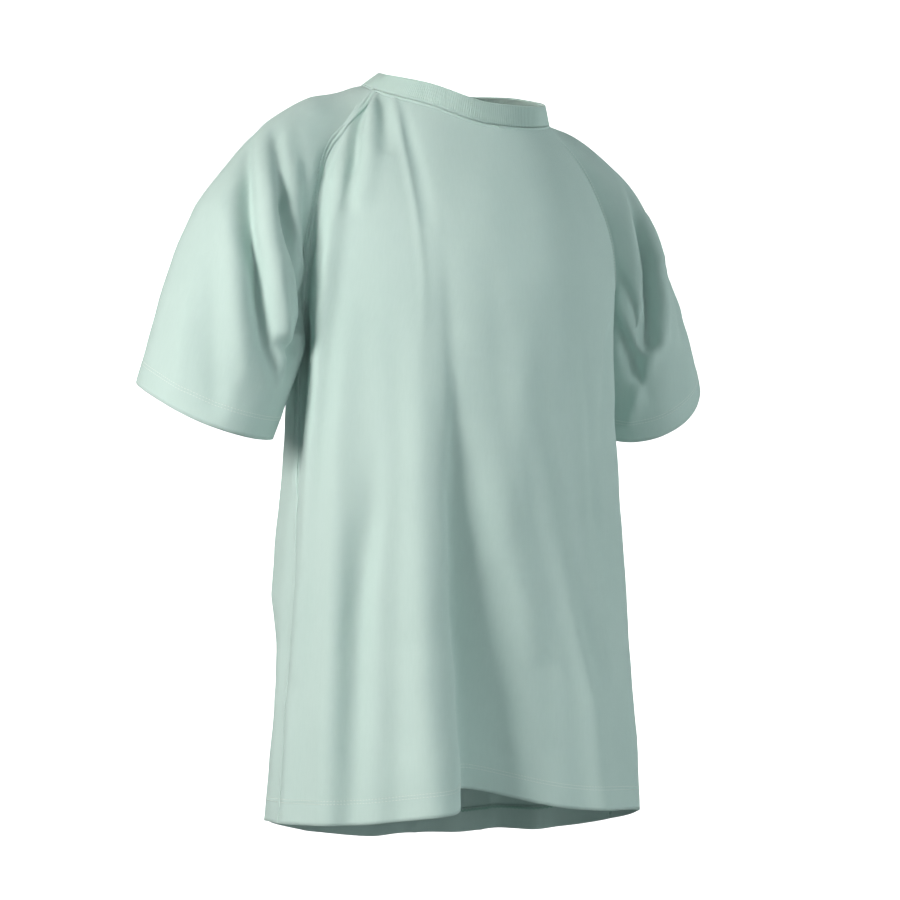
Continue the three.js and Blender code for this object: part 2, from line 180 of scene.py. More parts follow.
def through(*pairs):
    """A smooth function through (key, value) pairs."""
    keys, values = np.array(pairs, float).T
    last = len(keys) - 1
    slopes = [
        (values[min(i + 1, last)] - values[max(i - 1, 0)]) / (keys[min(i + 1, last)] - keys[max(i - 1, 0)])
        for i in range(last + 1)
    ]

    def value(key):
        i = int(np.clip(np.searchsorted(keys, key) - 1, 0, last - 1))
        span = keys[i + 1] - keys[i]
        t = min(max((key - keys[i]) / span, 0), 1)
        return (
            (2 * t**3 - 3 * t**2 + 1) * values[i]
            + (t**3 - 2 * t**2 + t) * span * slopes[i]
            + (3 * t**2 - 2 * t**3) * values[i + 1]
            + (t**3 - t**2) * span * slopes[i + 1]
        )

    return value


def ease(x, low, high):
    """0 below low, 1 above high, and smooth between."""
    t = np.clip((x - low) / (high - low), 0, 1)
    return t * t * (3 - 2 * t)


side_x = through((0, 202), (0.2, 193), (0.4, 184), (0.6, 178))
front_cut = {
    "seam": front_seam,
    "y": through((0, -148), (0.2, -137), (0.4, -131), (0.6, -132), (0.76, -127), (0.89, -103), (1, -76)),
    "z": through(
        (0, -704), (0.2, -556), (0.4, -405), (0.6, -254), (0.76, -160), (0.89, -86), (1, -NECK_RISE)
    ),
    "round": through((0.6, 90), (0.68, 72), (0.8, 64), (0.92, 72), (1, FRONT_SEAM_ANGLE)),
}
back_cut = {
    "seam": back_seam,
    "y": through((0, 148), (0.2, 139), (0.4, 127), (0.6, 128), (0.76, 132), (0.89, 117), (1, 76)),
    "z": through(
        (0, -742), (0.2, -578), (0.4, -414), (0.6, -256), (0.76, -142), (0.89, -48), (1, NECK_RISE)
    ),
    "round": through((0.6, 90), (0.68, 74), (0.8, 64), (0.92, 56), (1, 180 - BACK_SEAM_ANGLE)),
}


def panel_rows(cut):
    shares = np.r_[
        np.linspace(0, SIDE_SEAM_SHARE, ROWS_BELOW + 1),
        np.linspace(SIDE_SEAM_SHARE, 1, ROWS_ABOVE + 1)[1:],
    ]
    rows = []
    for v in shares:
        if v <= SIDE_SEAM_SHARE:
            side_z = SIDE_HEM_Z + (UNDERARM[2] - SIDE_HEM_Z) * v / SIDE_SEAM_SHARE
            end = np.array([side_x(v), UNDERARM[1], side_z])
            full = math.pi / 2
        else:
            end = cut["seam"]((v - SIDE_SEAM_SHARE) / (1 - SIDE_SEAM_SHARE))
            full = math.radians(cut["round"](v))
        a = np.linspace(-full, full, PANEL_COLUMNS + 1)
        share = (1 - np.cos(a)) / (1 - math.cos(full))
        x = end[0] * np.sin(a) / math.sin(full)
        y = cut["y"](v) + (end[1] - cut["y"](v)) * share
        z = cut["z"](v) + (end[2] - cut["z"](v)) * share
        rows.append(np.stack([x, y, z], -1))
    return np.array(rows)


front_rows, back_rows = panel_rows(front_cut), panel_rows(back_cut)[:, ::-1]
print("front panel rows:", front_rows.shape, "back panel rows:", back_rows.shape)

# %% [markdown]
# ## The shape of the sleeves
# A raglan sleeve starts as a tube at its hem. At the underarm the tube opens, and its two edges follow the
# front and back raglan seams up to the neck. Each row is an arc over the ridge of the shoulder.

# %% Rows of a sleeve
TUBE_ROWS, SLEEVE_COLUMNS = 12, 58
TUBE_HALF_DEPTH, TUBE_FRONT_DROP = 66, 26
SLEEVE_HEM_TOP, SLEEVE_HEM_BOTTOM = np.array([329.0, 40, -284]), np.array([201.0, 32, -338])
half_depth = through((0, 68), (0.15, 66), (0.3, 61), (0.5, 51), (1, 40))
open_to = through((0.3, 60), (0.5, 44), (0.7, 18), (0.85, -12), (1, -52))


def sleeve_arc(t):
    """The middle, the forward and upward half axes, and the opening of a row. t is 1 at the underarm."""
    if t <= 1:
        bottom = SLEEVE_HEM_BOTTOM + (UNDERARM - SLEEVE_HEM_BOTTOM) * t
        top = SLEEVE_HEM_TOP + (shoulder_ridge(0) - SLEEVE_HEM_TOP) * t
        middle = (bottom + top) / 2
        forward_ = np.array([0, -(TUBE_HALF_DEPTH + 2 * t), -TUBE_FRONT_DROP * (1 - t)])
        return middle, forward_, top - middle, math.pi / 2
    r = t - 1
    front, back, top = front_seam(r), back_seam(r), shoulder_ridge(r)
    half = np.linalg.norm(front - back) / 2
    closed = math.acos(min(half / half_depth(r), 1))
    opening = closed + (math.radians(open_to(r)) - closed) * ease(r, 0.35, 0.7)
    forward_ = (front - back) / (2 * max(half, 1e-6)) * (half / math.cos(opening))
    upward = (top - (front + back) / 2) / (1 + math.sin(opening))
    return top - upward, forward_, upward, opening


def arc_points(t):
    middle, forward_, upward, opening = sleeve_arc(t)
    a = np.linspace(-opening, math.pi + opening, SLEEVE_COLUMNS + 1)[:, None]
    return middle + forward_ * np.cos(a) + upward * np.sin(a)


def sleeve_rows():
    angles = np.linspace(FRONT_SEAM_ANGLE, BACK_SEAM_ANGLE, SLEEVE_COLUMNS + 1)
    neck = np.array([neck_point(d) for d in angles])
    to_neck = neck - arc_points(2)
    ts = np.r_[np.linspace(0, 1, TUBE_ROWS + 1), np.linspace(1, 2, ROWS_ABOVE + 1)[1:]]
    rows = []
    for t in ts:
        row = arc_points(t)
        if abs(t - 1) < 1e-9:
            row[[0, -1]] = UNDERARM
        rows.append(row + to_neck * ease(t, 1.7, 2))
    rows = np.array(rows)
    inner = ease(np.arange(SLEEVE_COLUMNS + 1), 1, 9) * ease(np.arange(SLEEVE_COLUMNS, -1, -1), 1, 9)
    for _ in range(40):  # evens out the step where the tube meets the shoulder
        near = rows[TUBE_ROWS - 9 : TUBE_ROWS + 12]
        even = (rows[TUBE_ROWS - 10 : TUBE_ROWS + 11] + rows[TUBE_ROWS - 8 : TUBE_ROWS + 13]) / 2
        rows[TUBE_ROWS - 9 : TUBE_ROWS + 12] = near + (even - near) * 0.5 * inner[:, None]
    return rows


left_rows = sleeve_rows()
right_rows = left_rows[:, ::-1] * [-1, 1, 1]
print("sleeve rows:", left_rows.shape)

# %% [markdown]
# ## Folds
# Cloth that hangs from the shoulders and the chest falls in long folds. The main ones are pressed in
# first, as a dresser's hands would set them: each is a line over the gown with a width and a depth, given
# at each of its points. A fold fades out past its ends. Draping then loosens them.

# %% Press folds into the rows
def outward_of(rows):
    """The way out of the cloth at every point of some rows."""
    across = np.gradient(rows, axis=1)
    up = np.gradient(rows, axis=0)
    out = np.cross(across, up)
    size = np.linalg.norm(out, axis=-1, keepdims=True)
    return out / np.maximum(size, 1e-9)


def fold_strength(rows, line, sides=(1, 1), weights=(1, 1, 1)):
    """How strongly each point takes part in a fold, from 0 to 1, and the depth there.
    line holds (x, y, z, width, depth). sides widens the fold towards -X and +X."""
    line = np.array(line, float)
    place = rows.reshape(-1, 3)
    best = np.full(len(place), 1e9)
    strength, depth = np.zeros(len(place)), np.zeros(len(place))
    for a, b in zip(line[:-1], line[1:]):
        run = b[:3] - a[:3]
        t = np.clip(((place - a[:3]) @ run) / (run @ run), 0, 1)
        gap = (place - (a[:3] + t[:, None] * run)) * weights
        far = np.linalg.norm(gap, axis=1)
        width = a[3] + t * (b[3] - a[3])
        width = width * np.where(gap[:, 0] < 0, sides[0], sides[1])
        nearer = far / width < best
        best = np.where(nearer, far / width, best)
        strength = np.where(nearer, np.exp(-((far / width) ** 2)), strength)
        depth = np.where(nearer, a[4] + t * (b[4] - a[4]), depth)
    return strength.reshape(rows.shape[:2]), depth.reshape(rows.shape[:2])


def press(rows, line, sides=(1, 1), weights=(1, 1, 1), way=None, lift=0):
    """Moves the cloth out by a fold's depth, or in where the depth is negative. lift raises the hem in it."""
    strength, depth = fold_strength(rows, line, sides, weights)
    out = outward_of(rows) if way is None else np.array(way, float)
    moved = rows + out * (strength * depth)[..., None]
    if lift:
        near_hem = ease(-rows[..., 2], 380, 720)
        moved[..., 2] += lift * strength * near_hem
    return moved


# A fold of the front is followed as it is seen from the front, with no or little heed to depth.
FACE_ON, NEARLY_FACE_ON = (1, 0, 1), (1, 0.25, 1)


def fold(*line, **how):
    """A fold along a line of (x, y, z, width, depth), and how it is pressed."""
    return {"line": line, **how}


def mirrored(a_fold):
    """The same fold on the other side of the gown."""
    return {**a_fold, "line": [(-x, *rest) for x, *rest in a_fold["line"]]}


FRONT_FOLDS = [
    # The deep fold right of the middle as the wearer sees it, that widens towards the hem.
    fold(
        (-80, -112, -150, 18, -1), (-76, -118, -220, 20, -6), (-70, -120, -300, 22, -10),
        (-67, -122, -397, 27, -24), (-58, -128, -492, 34, -38), (-46, -136, -588, 42, -52),
        (-41, -140, -664, 46, -60), (-39, -140, -730, 47, -62),
        weights=FACE_ON, way=(0.12, -1, 0), sides=(0.55, 1.6), lift=22,
    ),
    # The flat of the front beyond it, which hangs back from the chest.
    fold(
        (34, -132, -180, 60, -3), (40, -132, -280, 70, -10), (46, -134, -400, 76, -16),
        (54, -134, -560, 76, -19), (60, -134, -730, 76, -17),
        weights=FACE_ON, way=(0, -1, 0),
    ),
    # The broad ridge beside it, from the chest to the hem.
    fold(
        (-116, -92, -170, 18, 2), (-109, -103, -300, 20, 8), (-107, -108, -450, 19, 12),
        (-106, -114, -600, 19, 14), (-104, -120, -720, 20, 14),
        weights=FACE_ON,
    ),
    # Creases between that ridge and the side.
    fold(
        (-140, -82, -330, 7, -1), (-145, -79, -410, 9, -7), (-153, -75, -480, 10, -10),
        (-162, -76, -620, 11, -9), (-168, -76, -720, 11, -6),
        weights=FACE_ON,
    ),
    fold(
        (-156, -60, -220, 9, 2), (-164, -56, -350, 9, 5), (-170, -56, -500, 10, 6),
        (-180, -58, -700, 11, 4),
        weights=NEARLY_FACE_ON,
    ),
    fold(
        (-126, -90, -220, 8, -1), (-126, -94, -340, 9, -4), (-128, -98, -460, 9, -5),
        (-132, -102, -620, 10, -4), (-134, -104, -720, 10, -3),
        weights=FACE_ON,
    ),
    # Folds that fan out from the neck band near the shoulder seam.
    fold(
        (-107, -4, -4, 5, -4), (-123, -15, -28, 7, -10), (-142, -36, -71, 9, -10),
        (-156, -46, -117, 10, -5),
    ),
    fold((-104, -14, -8, 5, 3), (-116, -28, -30, 7, 6), (-131, -48, -72, 9, 6), (-144, -58, -112, 10, 3)),
    fold((-100, -20, -10, 5, -4), (-105, -34, -24, 6, -5), (-113, -52, -55, 8, -3)),
    # The lip of the front along the underarm, with a deep fold behind it.
    fold(
        (-138, -24, -50, 7, 2), (-156, -36, -92, 9, 6), (-170, -42, -153, 10, 8), (-172, -36, -219, 10, 9),
        (-176, -30, -301, 10, 8), (-184, -24, -400, 10, 5), (-196, -20, -560, 12, 4),
    ),
    fold(
        (-140, -8, -44, 5, -3), (-160, -16, -86, 6, -7), (-177, -18, -153, 7, -12),
        (-180, -10, -219, 7, -12), (-183, 0, -301, 8, -8), (-187, 8, -390, 9, -6),
    ),
    # Soft folds that run down from the chest on the wearer's left.
    fold(
        (-36, -129, -190, 12, -1), (-26, -131, -302, 13, -2), (-10, -131, -377, 13, -3),
        (12, -133, -454, 14, -3), (34, -134, -530, 15, -3), (44, -138, -640, 16, -2),
        weights=FACE_ON,
    ),
    fold(
        (-8, -132, -310, 12, -1), (19, -131, -414, 13, -4), (38, -131, -480, 14, -4),
        (60, -130, -550, 15, -3), (70, -135, -660, 16, -2), (74, -135, -720, 16, -2),
        weights=FACE_ON,
    ),
    fold(
        (33, -129, -330, 12, -1), (60, -126, -440, 14, -4), (88, -119, -530, 16, -5),
        (118, -109, -600, 18, -4), (138, -100, -690, 18, -3), (142, -100, -730, 18, -2),
        weights=FACE_ON,
    ),
    fold(
        (44, -130, -380, 10, 1), (66, -128, -490, 11, 2), (88, -122, -590, 12, 3),
        (104, -118, -720, 14, 3),
        weights=FACE_ON,
    ),
    fold(
        (70, -120, -220, 11, -1), (88, -114, -320, 12, -5), (104, -108, -414, 13, -6),
        (122, -102, -500, 14, -3),
        weights=FACE_ON,
    ),
    # The wearer's left edge of the front, which stands out a little from the waist down.
    fold(
        (168, -62, -330, 20, 2), (170, -64, -400, 26, 6), (172, -66, -490, 28, 9), (174, -68, -590, 26, 6),
        (176, -70, -700, 20, 2),
        weights=(1, 0.5, 1), way=(1, 0, 0),
    ),
    fold(
        (146, -66, -196, 8, -3), (132, -92, -240, 11, -8), (122, -102, -300, 13, -6),
        (118, -106, -380, 15, -2),
    ),
    fold((166, -44, -150, 7, -2), (152, -72, -196, 8, -7), (130, -98, -232, 11, -4)),
    fold((156, -50, -168, 7, 2), (142, -80, -216, 8, 5), (128, -98, -262, 10, 3)),
]
SIDE_FOLDS = [
    # The deep fold along each side, behind the front.
    fold(
        (-187, 10, -400, 12, -5), (-190, 14, -480, 14, -6), (-196, 14, -600, 14, -5),
        (-202, 12, -730, 12, -2),
    ),
    fold(
        (184, 14, -270, 10, -5), (188, 16, -400, 12, -9), (196, 18, -560, 14, -8), (202, 18, -730, 16, -1),
    ),
]
# These are the same on both sides of the back, given for the wearer's right.
BACK_PAIRS = [
    fold((-152, 70, -120, 8, -4), (-146, 86, -190, 10, -10), (-130, 102, -270, 13, -6)),
    fold((-168, 54, -200, 8, -4), (-158, 80, -262, 10, -9), (-144, 94, -340, 13, -5)),
]
BACK_FOLDS = [
    fold(
        (-176, 52, -300, 14, 4), (-174, 60, -400, 22, 7), (-174, 64, -490, 24, 9),
        (-178, 66, -600, 22, -15), (-182, 70, -660, 20, -10), (-184, 72, -740, 16, 2),
    ),
    fold(
        (-104, 104, -280, 13, -4), (-112, 106, -450, 16, -11), (-120, 112, -600, 20, -12),
        (-124, 118, -760, 26, -7),
    ),
    fold(
        (-72, 116, -300, 13, 3), (-76, 116, -450, 15, 8), (-80, 124, -620, 18, 7), (-82, 130, -760, 22, 4),
    ),
    fold(
        (-34, 128, -230, 14, -2), (-30, 124, -420, 18, -11), (-26, 134, -600, 24, -15),
        (-24, 142, -780, 30, -13),
    ),
    fold((14, 128, -300, 15, 3), (16, 126, -480, 16, 8), (22, 136, -640, 20, 7), (24, 146, -780, 24, 4)),
    fold(
        (62, 122, -260, 13, -3), (68, 118, -430, 17, -11), (78, 124, -600, 21, -14),
        (84, 132, -780, 27, -11),
    ),
    fold(
        (112, 104, -330, 12, 3), (118, 102, -480, 14, 8), (124, 108, -620, 15, 9), (128, 114, -760, 16, 9),
    ),
    fold(
        (148, 84, -260, 12, -5), (154, 82, -420, 14, -10), (160, 86, -600, 16, -12),
        (164, 90, -760, 16, -12),
    ),
    fold((-60, 98, -20, 8, -3), (-76, 116, -100, 12, -7), (-96, 116, -190, 14, -4)),
    fold((60, 98, -20, 8, -3), (80, 116, -100, 12, -7), (106, 110, -190, 14, -4)),
    fold((-20, 92, 6, 8, -2), (-24, 118, -70, 12, -4), (-30, 130, -150, 14, -2)),
    *[side for each in BACK_PAIRS for side in (each, mirrored(each))],
]
# These are the same on both sleeves, given for the wearer's right.
SLEEVE_REAR = [
    fold((-250, 66, -110, 10, -5), (-256, 84, -170, 11, -9), (-250, 96, -240, 12, -6)),
    fold((-220, 60, -80, 9, -4), (-222, 80, -150, 10, -8), (-214, 88, -230, 11, -6)),
    fold((-196, 62, -130, 8, -5), (-202, 70, -200, 9, -12), (-210, 76, -280, 10, -6)),
]
RIGHT_FOLDS = [
    fold(
        (-118, 20, 2, 24, 4), (-150, 24, -4, 28, 9), (-200, 26, -34, 30, 7), (-240, 28, -72, 28, 2),
        way=(0, 0, 1),
    ),
    fold(
        (-206, 34, -40, 6, -3), (-222, 20, -54, 8, -8), (-244, -12, -101, 9, -16),
        (-248, -33, -153, 10, -18), (-245, -44, -211, 10, -17), (-238, -46, -253, 9, -14),
        (-222, -42, -290, 8, -9),
    ),
    fold(
        (-196, 12, -38, 6, -2), (-208, 1, -50, 7, -7), (-217, -32, -118, 8, -16),
        (-209, -37, -151, 8, -16), (-196, -30, -191, 8, -13), (-190, -24, -230, 7, -8),
    ),
    fold(
        (-214, 16, -44, 7, 3), (-230, -20, -96, 8, 8), (-232, -34, -140, 8, 8), (-226, -42, -190, 8, 7),
        (-216, -44, -240, 8, 5),
    ),
    fold(
        (-266, 0, -104, 9, 3), (-270, -24, -156, 10, 6), (-268, -34, -220, 10, 6),
        (-262, -38, -280, 10, 4),
    ),
    fold(
        (-184, 0, -44, 6, -2), (-187, -17, -80, 7, -5), (-190, -26, -120, 8, -6), (-186, -24, -160, 8, -6),
    ),
    fold(
        (-246, -46, -244, 5, -2), (-232, -46, -252, 5, -6), (-214, -40, -260, 5, -7),
        (-200, -30, -262, 5, -6),
    ),
    fold(
        (-190, -16, -200, 6, -6), (-196, -26, -240, 8, -12), (-200, -30, -262, 7, -14),
        (-204, -30, -290, 8, -6),
    ),
    fold((-300, 10, -170, 12, 2), (-308, 0, -230, 12, 4), (-314, -4, -280, 12, 3)),
    fold((-288, -16, -170, 9, -3), (-292, -26, -230, 10, -6), (-288, -30, -300, 11, -5)),
    *SLEEVE_REAR,
    fold((-296, 80, -190, 10, 3), (-300, 92, -250, 11, 4), (-298, 96, -300, 12, 3)),
]
LEFT_FOLDS = [
    fold(
        (262, 10, -100, 26, 6), (292, 6, -160, 30, 12), (312, 6, -215, 30, 12), (322, 10, -262, 26, 4),
        way=(-1, 0.3, 0), weights=(0.5, 0.5, 1),
    ),
    fold(
        (200, 8, -48, 6, -3), (208, -14, -74, 7, -9), (211, -31, -112, 8, -17), (215, -38, -154, 8, -19),
        (216, -43, -196, 8, -18), (214, -46, -240, 8, -13),
    ),
    fold((224, -20, -96, 8, 3), (230, -36, -140, 8, 7), (232, -44, -190, 8, 7), (230, -46, -240, 8, 5)),
    fold(
        (188, -14, -150, 6, -3), (194, -26, -180, 7, -7), (202, -34, -210, 7, -8), (208, -40, -236, 7, -5),
    ),
    fold(
        (184, -8, -200, 6, -5), (192, -26, -236, 7, -11), (204, -34, -270, 8, -12),
        (212, -38, -300, 8, -6),
    ),
    fold((224, -48, -236, 8, 4), (214, -40, -264, 8, 7), (208, -26, -300, 8, 6), (206, -14, -326, 8, 4)),
    fold((258, -16, -110, 9, -2), (264, -32, -170, 10, -5), (268, -38, -240, 11, -4)),
    *[mirrored(each) for each in SLEEVE_REAR],
]
for each in FRONT_FOLDS + SIDE_FOLDS:
    front_rows = press(front_rows, **each)
for each in BACK_FOLDS + SIDE_FOLDS:
    back_rows = press(back_rows, **each)
for each in RIGHT_FOLDS:
    right_rows = press(right_rows, **each)
for each in LEFT_FOLDS:
    left_rows = press(left_rows, **each)


def crumple(rows, seed, size=70, amount=1.6):
    """Adds the slight unevenness of washed cloth."""
    out = outward_of(rows)
    moved = rows.copy()
    for j, i in np.ndindex(rows.shape[:2]):
        at = Vector(rows[j, i]) / size + Vector((seed, 0, 0))
        height = noise.noise(at) + 0.5 * noise.noise(at * 2.3)
        moved[j, i] += out[j, i] * height * amount
    return moved


front_rows, back_rows = crumple(front_rows, 0), crumple(back_rows, 0)
left_rows, right_rows = crumple(left_rows, 0), crumple(right_rows, 0)


def match_edge(rows_a, edge_a, rows_b, edge_b):
    """Brings two edges that are sewn together to the places halfway between them."""
    middle = (rows_a[edge_a] + rows_b[edge_b]) / 2
    rows_a[edge_a] = middle
    rows_b[edge_b] = middle


def stretches(fineness):
    """The rows of a panel below and above the underarm, and those of a sleeve's tube and of its cap."""
    panel_arm, sleeve_arm = ROWS_BELOW * fineness, TUBE_ROWS * fineness
    return slice(0, panel_arm + 1), slice(panel_arm, None), slice(0, sleeve_arm + 1), slice(sleeve_arm, None)


def sew_edges(front, back, left, right, fineness):
    """Brings together all the edges that a seam joins. fineness is 2 once the rows are twice as fine."""
    below, above, tube, cap = stretches(fineness)
    panel_arm, sleeve_arm = above.start, cap.start
    match_edge(front, (below, -1), back, (below, 0))
    match_edge(front, (below, 0), back, (below, -1))
    match_edge(left, (tube, 0), left, (tube, -1))
    match_edge(right, (tube, 0), right, (tube, -1))
    match_edge(front, (above, -1), left, (cap, 0))
    match_edge(back, (above, 0), left, (cap, -1))
    match_edge(front, (above, 0), right, (cap, -1))
    match_edge(back, (above, -1), right, (cap, 0))
    for front_side, back_side, rows in ((-1, 0, left), (0, -1, right)):
        corner = (front[panel_arm, front_side] + back[panel_arm, back_side] + rows[sleeve_arm, 0]) / 3
        front[panel_arm, front_side] = back[panel_arm, back_side] = corner
        rows[sleeve_arm, 0] = rows[sleeve_arm, -1] = corner


# How far each hem is lifted, in millimetres, at shares of the way along it. The front dips at the wearer's
# left corner, and the back rises towards the right one.
FRONT_HEM_RISE = through((0, 2), (0.2, 5), (0.38, 14), (0.5, 8), (0.64, 6), (0.8, 0), (1, -17))
BACK_HEM_RISE = through((0, -17), (0.15, -13), (0.38, 0), (0.5, 2), (0.82, 15), (0.92, 10), (1, 2))


def level_hems(front, back, left, right):
    """Sets the hems: those of the body follow their curves, and each sleeve's tips its own way."""
    for rows, rise_at in ((front, FRONT_HEM_RISE), (back, BACK_HEM_RISE)):
        rise = np.array([rise_at(share) for share in np.linspace(0, 1, rows.shape[1])])
        rows[..., 2] += ease(-rows[..., 2], 500, 700) * rise
    for rows, outer, inner in ((left, 30, 15), (right, -8, 9)):
        share = ease(np.abs(rows[0, :, 0]), 195, 330)
        fade = 1 - ease(np.arange(len(rows)), 0, 2.2 * TUBE_ROWS)
        rows[..., 2] += fade[:, None] * (inner + (outer - inner) * share)


level_hems(front_rows, back_rows, left_rows, right_rows)
sew_edges(front_rows, back_rows, left_rows, right_rows, 1)
ALL_FOLDS = (FRONT_FOLDS, SIDE_FOLDS, BACK_FOLDS, RIGHT_FOLDS, LEFT_FOLDS)
print("folds pressed:", sum(len(folds) for folds in ALL_FOLDS))

# %% [markdown]
# ## Draping
# Folds that are only pressed in look stiff. So the four cloths are sewn into one, laid over a plain form of
# the wearer's shoulders and chest, and left to hang for under a second of simulated time. The neck is held.
# Each point may move only a little, so that the gown keeps its cut.

# %% Sew the cloths into one mesh
MM = 0.001


def grid_mesh(bm, rows):
    """Adds a grid of cloth to a bmesh, at the places that rows gives in millimetres."""
    count_v, count_u = rows.shape[0] - 1, rows.shape[1] - 1
    made = bmesh.ops.create_grid(bm, x_segments=count_u, y_segments=count_v, size=1)
    for v in made["verts"]:
        i = round((v.co.x + 1) / 2 * count_u)
        j = round((v.co.y + 1) / 2 * count_v)
        v.co = rows[j, i] * MM
    return made["verts"]


def finish_mesh(name, bm):
    """Turns a bmesh into an object of the scene."""
    mesh = bpy.data.meshes.new(name)
    bm.to_mesh(mesh)
    bm.free()
    piece = bpy.data.objects.new(name, mesh)
    bpy.context.scene.collection.objects.link(piece)
    return piece


bm = bmesh.new()
for rows in (front_rows, back_rows, left_rows, right_rows):
    grid_mesh(bm, rows)
bmesh.ops.remove_doubles(bm, verts=bm.verts, dist=0.0002)
bmesh.ops.recalc_face_normals(bm, faces=bm.faces)
sewn = finish_mesh("sewn_gown", bm)
sewn_start = np.array([v.co[:] for v in sewn.data.vertices])
print("sewn gown:", len(sewn_start), "points")

# %% Hang the cloth on the form
FORM_INSIDE = 0.007  # how far the form lies inside the cloth, in metres


def drape(sewn, frames=22, most=0.003):
    """Lets the gown hang, and returns where its points end, none further than most from its start."""
    wearer = bmesh.new()
    for rows in (panel_rows(front_cut), panel_rows(back_cut), sleeve_rows(), sleeve_rows() * [-1, 1, 1]):
        grid_mesh(wearer, rows)
    bmesh.ops.remove_doubles(wearer, verts=wearer.verts, dist=0.0002)
    bmesh.ops.recalc_face_normals(wearer, faces=wearer.faces)
    for v in wearer.verts:
        v.co -= v.normal * FORM_INSIDE
    low = [v for v in wearer.verts if v.co.z < -0.21 or (abs(v.co.x) > 0.2 and v.co.z < -0.13)]
    bmesh.ops.delete(wearer, geom=low, context="VERTS")
    form = finish_mesh("wearer_form", wearer)
    form.modifiers.new("collision", "COLLISION")
    form.collision.thickness_outer = 0.002
    form.collision.cloth_friction = 12
    held = sewn.vertex_groups.new(name="held")
    for i, (x, y, z) in enumerate(sewn_start):
        ring = math.hypot(x / 0.1, y / 0.076)
        held.add([i], float(1 - ease(ring, 1.02, 1.3)) if z > -0.08 else 0, "REPLACE")
    cloth = sewn.modifiers.new("cloth", "CLOTH")
    cloth.settings.quality = 6
    cloth.settings.mass = 0.02
    cloth.settings.tension_stiffness = cloth.settings.compression_stiffness = 12
    cloth.settings.shear_stiffness = 5
    cloth.settings.bending_stiffness = 0.05
    cloth.settings.air_damping = 2
    cloth.settings.vertex_group_mass = "held"
    cloth.collision_settings.distance_min = 0.002
    cloth.point_cache.frame_start, cloth.point_cache.frame_end = 1, frames
    for f in range(1, frames + 1):
        bpy.context.scene.frame_set(f)
    hung = sewn.evaluated_get(bpy.context.evaluated_depsgraph_get()).to_mesh()
    end = np.array([v.co[:] for v in hung.vertices])
    bpy.context.scene.frame_set(1)
    bpy.data.objects.remove(form)
    move = end - sewn_start
    far = np.linalg.norm(move, axis=1, keepdims=True)
    most_moved, average = (round(float(d) * 1000, 1) for d in (far.max(), far.mean()))
    print("cloth moved", most_moved, "mm at most, and", average, "on average")
    return sewn_start + move / np.maximum(far, 1e-9) * most * np.tanh(far / most)


sewn_end = drape(sewn)
bpy.data.objects.remove(sewn)
finder = KDTree(len(sewn_start))
for i, place in enumerate(sewn_start):
    finder.insert(place, i)
finder.balance()


def hung(rows):
    """The rows of a cloth once it is draped, in metres, with the move evened out over its neighbours."""
    flat = (rows * MM).reshape(-1, 3)
    move = np.array([sewn_end[finder.find(p)[1]] for p in flat]).reshape(rows.shape) - rows * MM
    for _ in range(5):
        wide = np.pad(move, ((1, 1), (1, 1), (0, 0)), mode="edge")
        move = (2 * move + wide[:-2, 1:-1] + wide[2:, 1:-1] + wide[1:-1, :-2] + wide[1:-1, 2:]) / 6
    return rows * MM + move


def finer(rows):
    """Rows of twice the fineness, on smooth curves through the old ones."""
    for axis in (0, 1):
        rows = np.moveaxis(rows, axis, 0)
        padded = np.concatenate([2 * rows[:1] - rows[1:2], rows, 2 * rows[-1:] - rows[-2:-1]])
        middles = (9 * (padded[1:-2] + padded[2:-1]) - padded[:-3] - padded[3:]) / 16
        out = np.empty((2 * len(rows) - 1, *rows.shape[1:]))
        out[::2], out[1::2] = rows, middles
        rows = np.moveaxis(out, 0, axis)
    return rows


front_hung, back_hung, left_hung, right_hung = (
    finer(hung(r)) / MM for r in (front_rows, back_rows, left_rows, right_rows)
)

# %% [markdown]
# ## Small creases
# The fine creases, such as those from packing and those along the seams, are narrower than the rows of the
# drape. So they are pressed in once the rows are twice as fine.

# %% Press in the small creases
FINE_FOLDS = [
    # A sharp crease from the neck band down the chest, and the hollow beside it.
    fold(
        (-95, -26, -8, 3, 1), (-94, -33, -15, 3.4, 2.4), (-99, -58, -50, 3.4, 2.8),
        (-102, -73, -78, 3.4, 2.6), (-103, -86, -110, 3.4, 2.2), (-104, -103, -178, 3.6, 1.6),
        (-106, -106, -250, 4, 0.6),
    ),
    fold((-88, -42, -20, 4, -1), (-90, -56, -44, 5, -3), (-92, -76, -76, 6, -3), (-94, -96, -130, 7, -1.5)),
    # Packing creases across the lower front.
    fold((-190, -31, -528, 3.5, -0.6), (-157, -76, -536, 3.5, -1.2), (-111, -118, -530, 3.5, -0.8)),
    fold((-194, -25, -624, 3.5, -0.6), (-146, -94, -629, 3.5, -1.2), (-98, -130, -622, 3.5, -0.8)),
    fold((60, -140, -640, 3.5, -0.6), (110, -118, -634, 3.5, -1.1), (170, -76, -640, 3.5, -0.6)),
    fold((-60, -130, -300, 4, -0.4), (10, -138, -306, 4, -1), (90, -120, -300, 4, -0.4)),
]
BACK_CREASES = [
    # Two slanting creases at the hem of the back, that show inside it.
    fold(
        (60, 138, -690, 3.2, -2.4), (48, 140, -716, 3.2, -2.6), (36, 142, -746, 3.4, -2.4),
        weights=(1, 0.2, 1),
    ),
    fold(
        (118, 120, -694, 3.0, -1.8), (112, 124, -720, 3.0, -2.2), (106, 126, -744, 3.2, -2.0),
        weights=(1, 0.2, 1),
    ),
]
for each in FINE_FOLDS:
    front_hung = press(front_hung, **each)
for each in BACK_CREASES:
    back_hung = press(back_hung, **each)


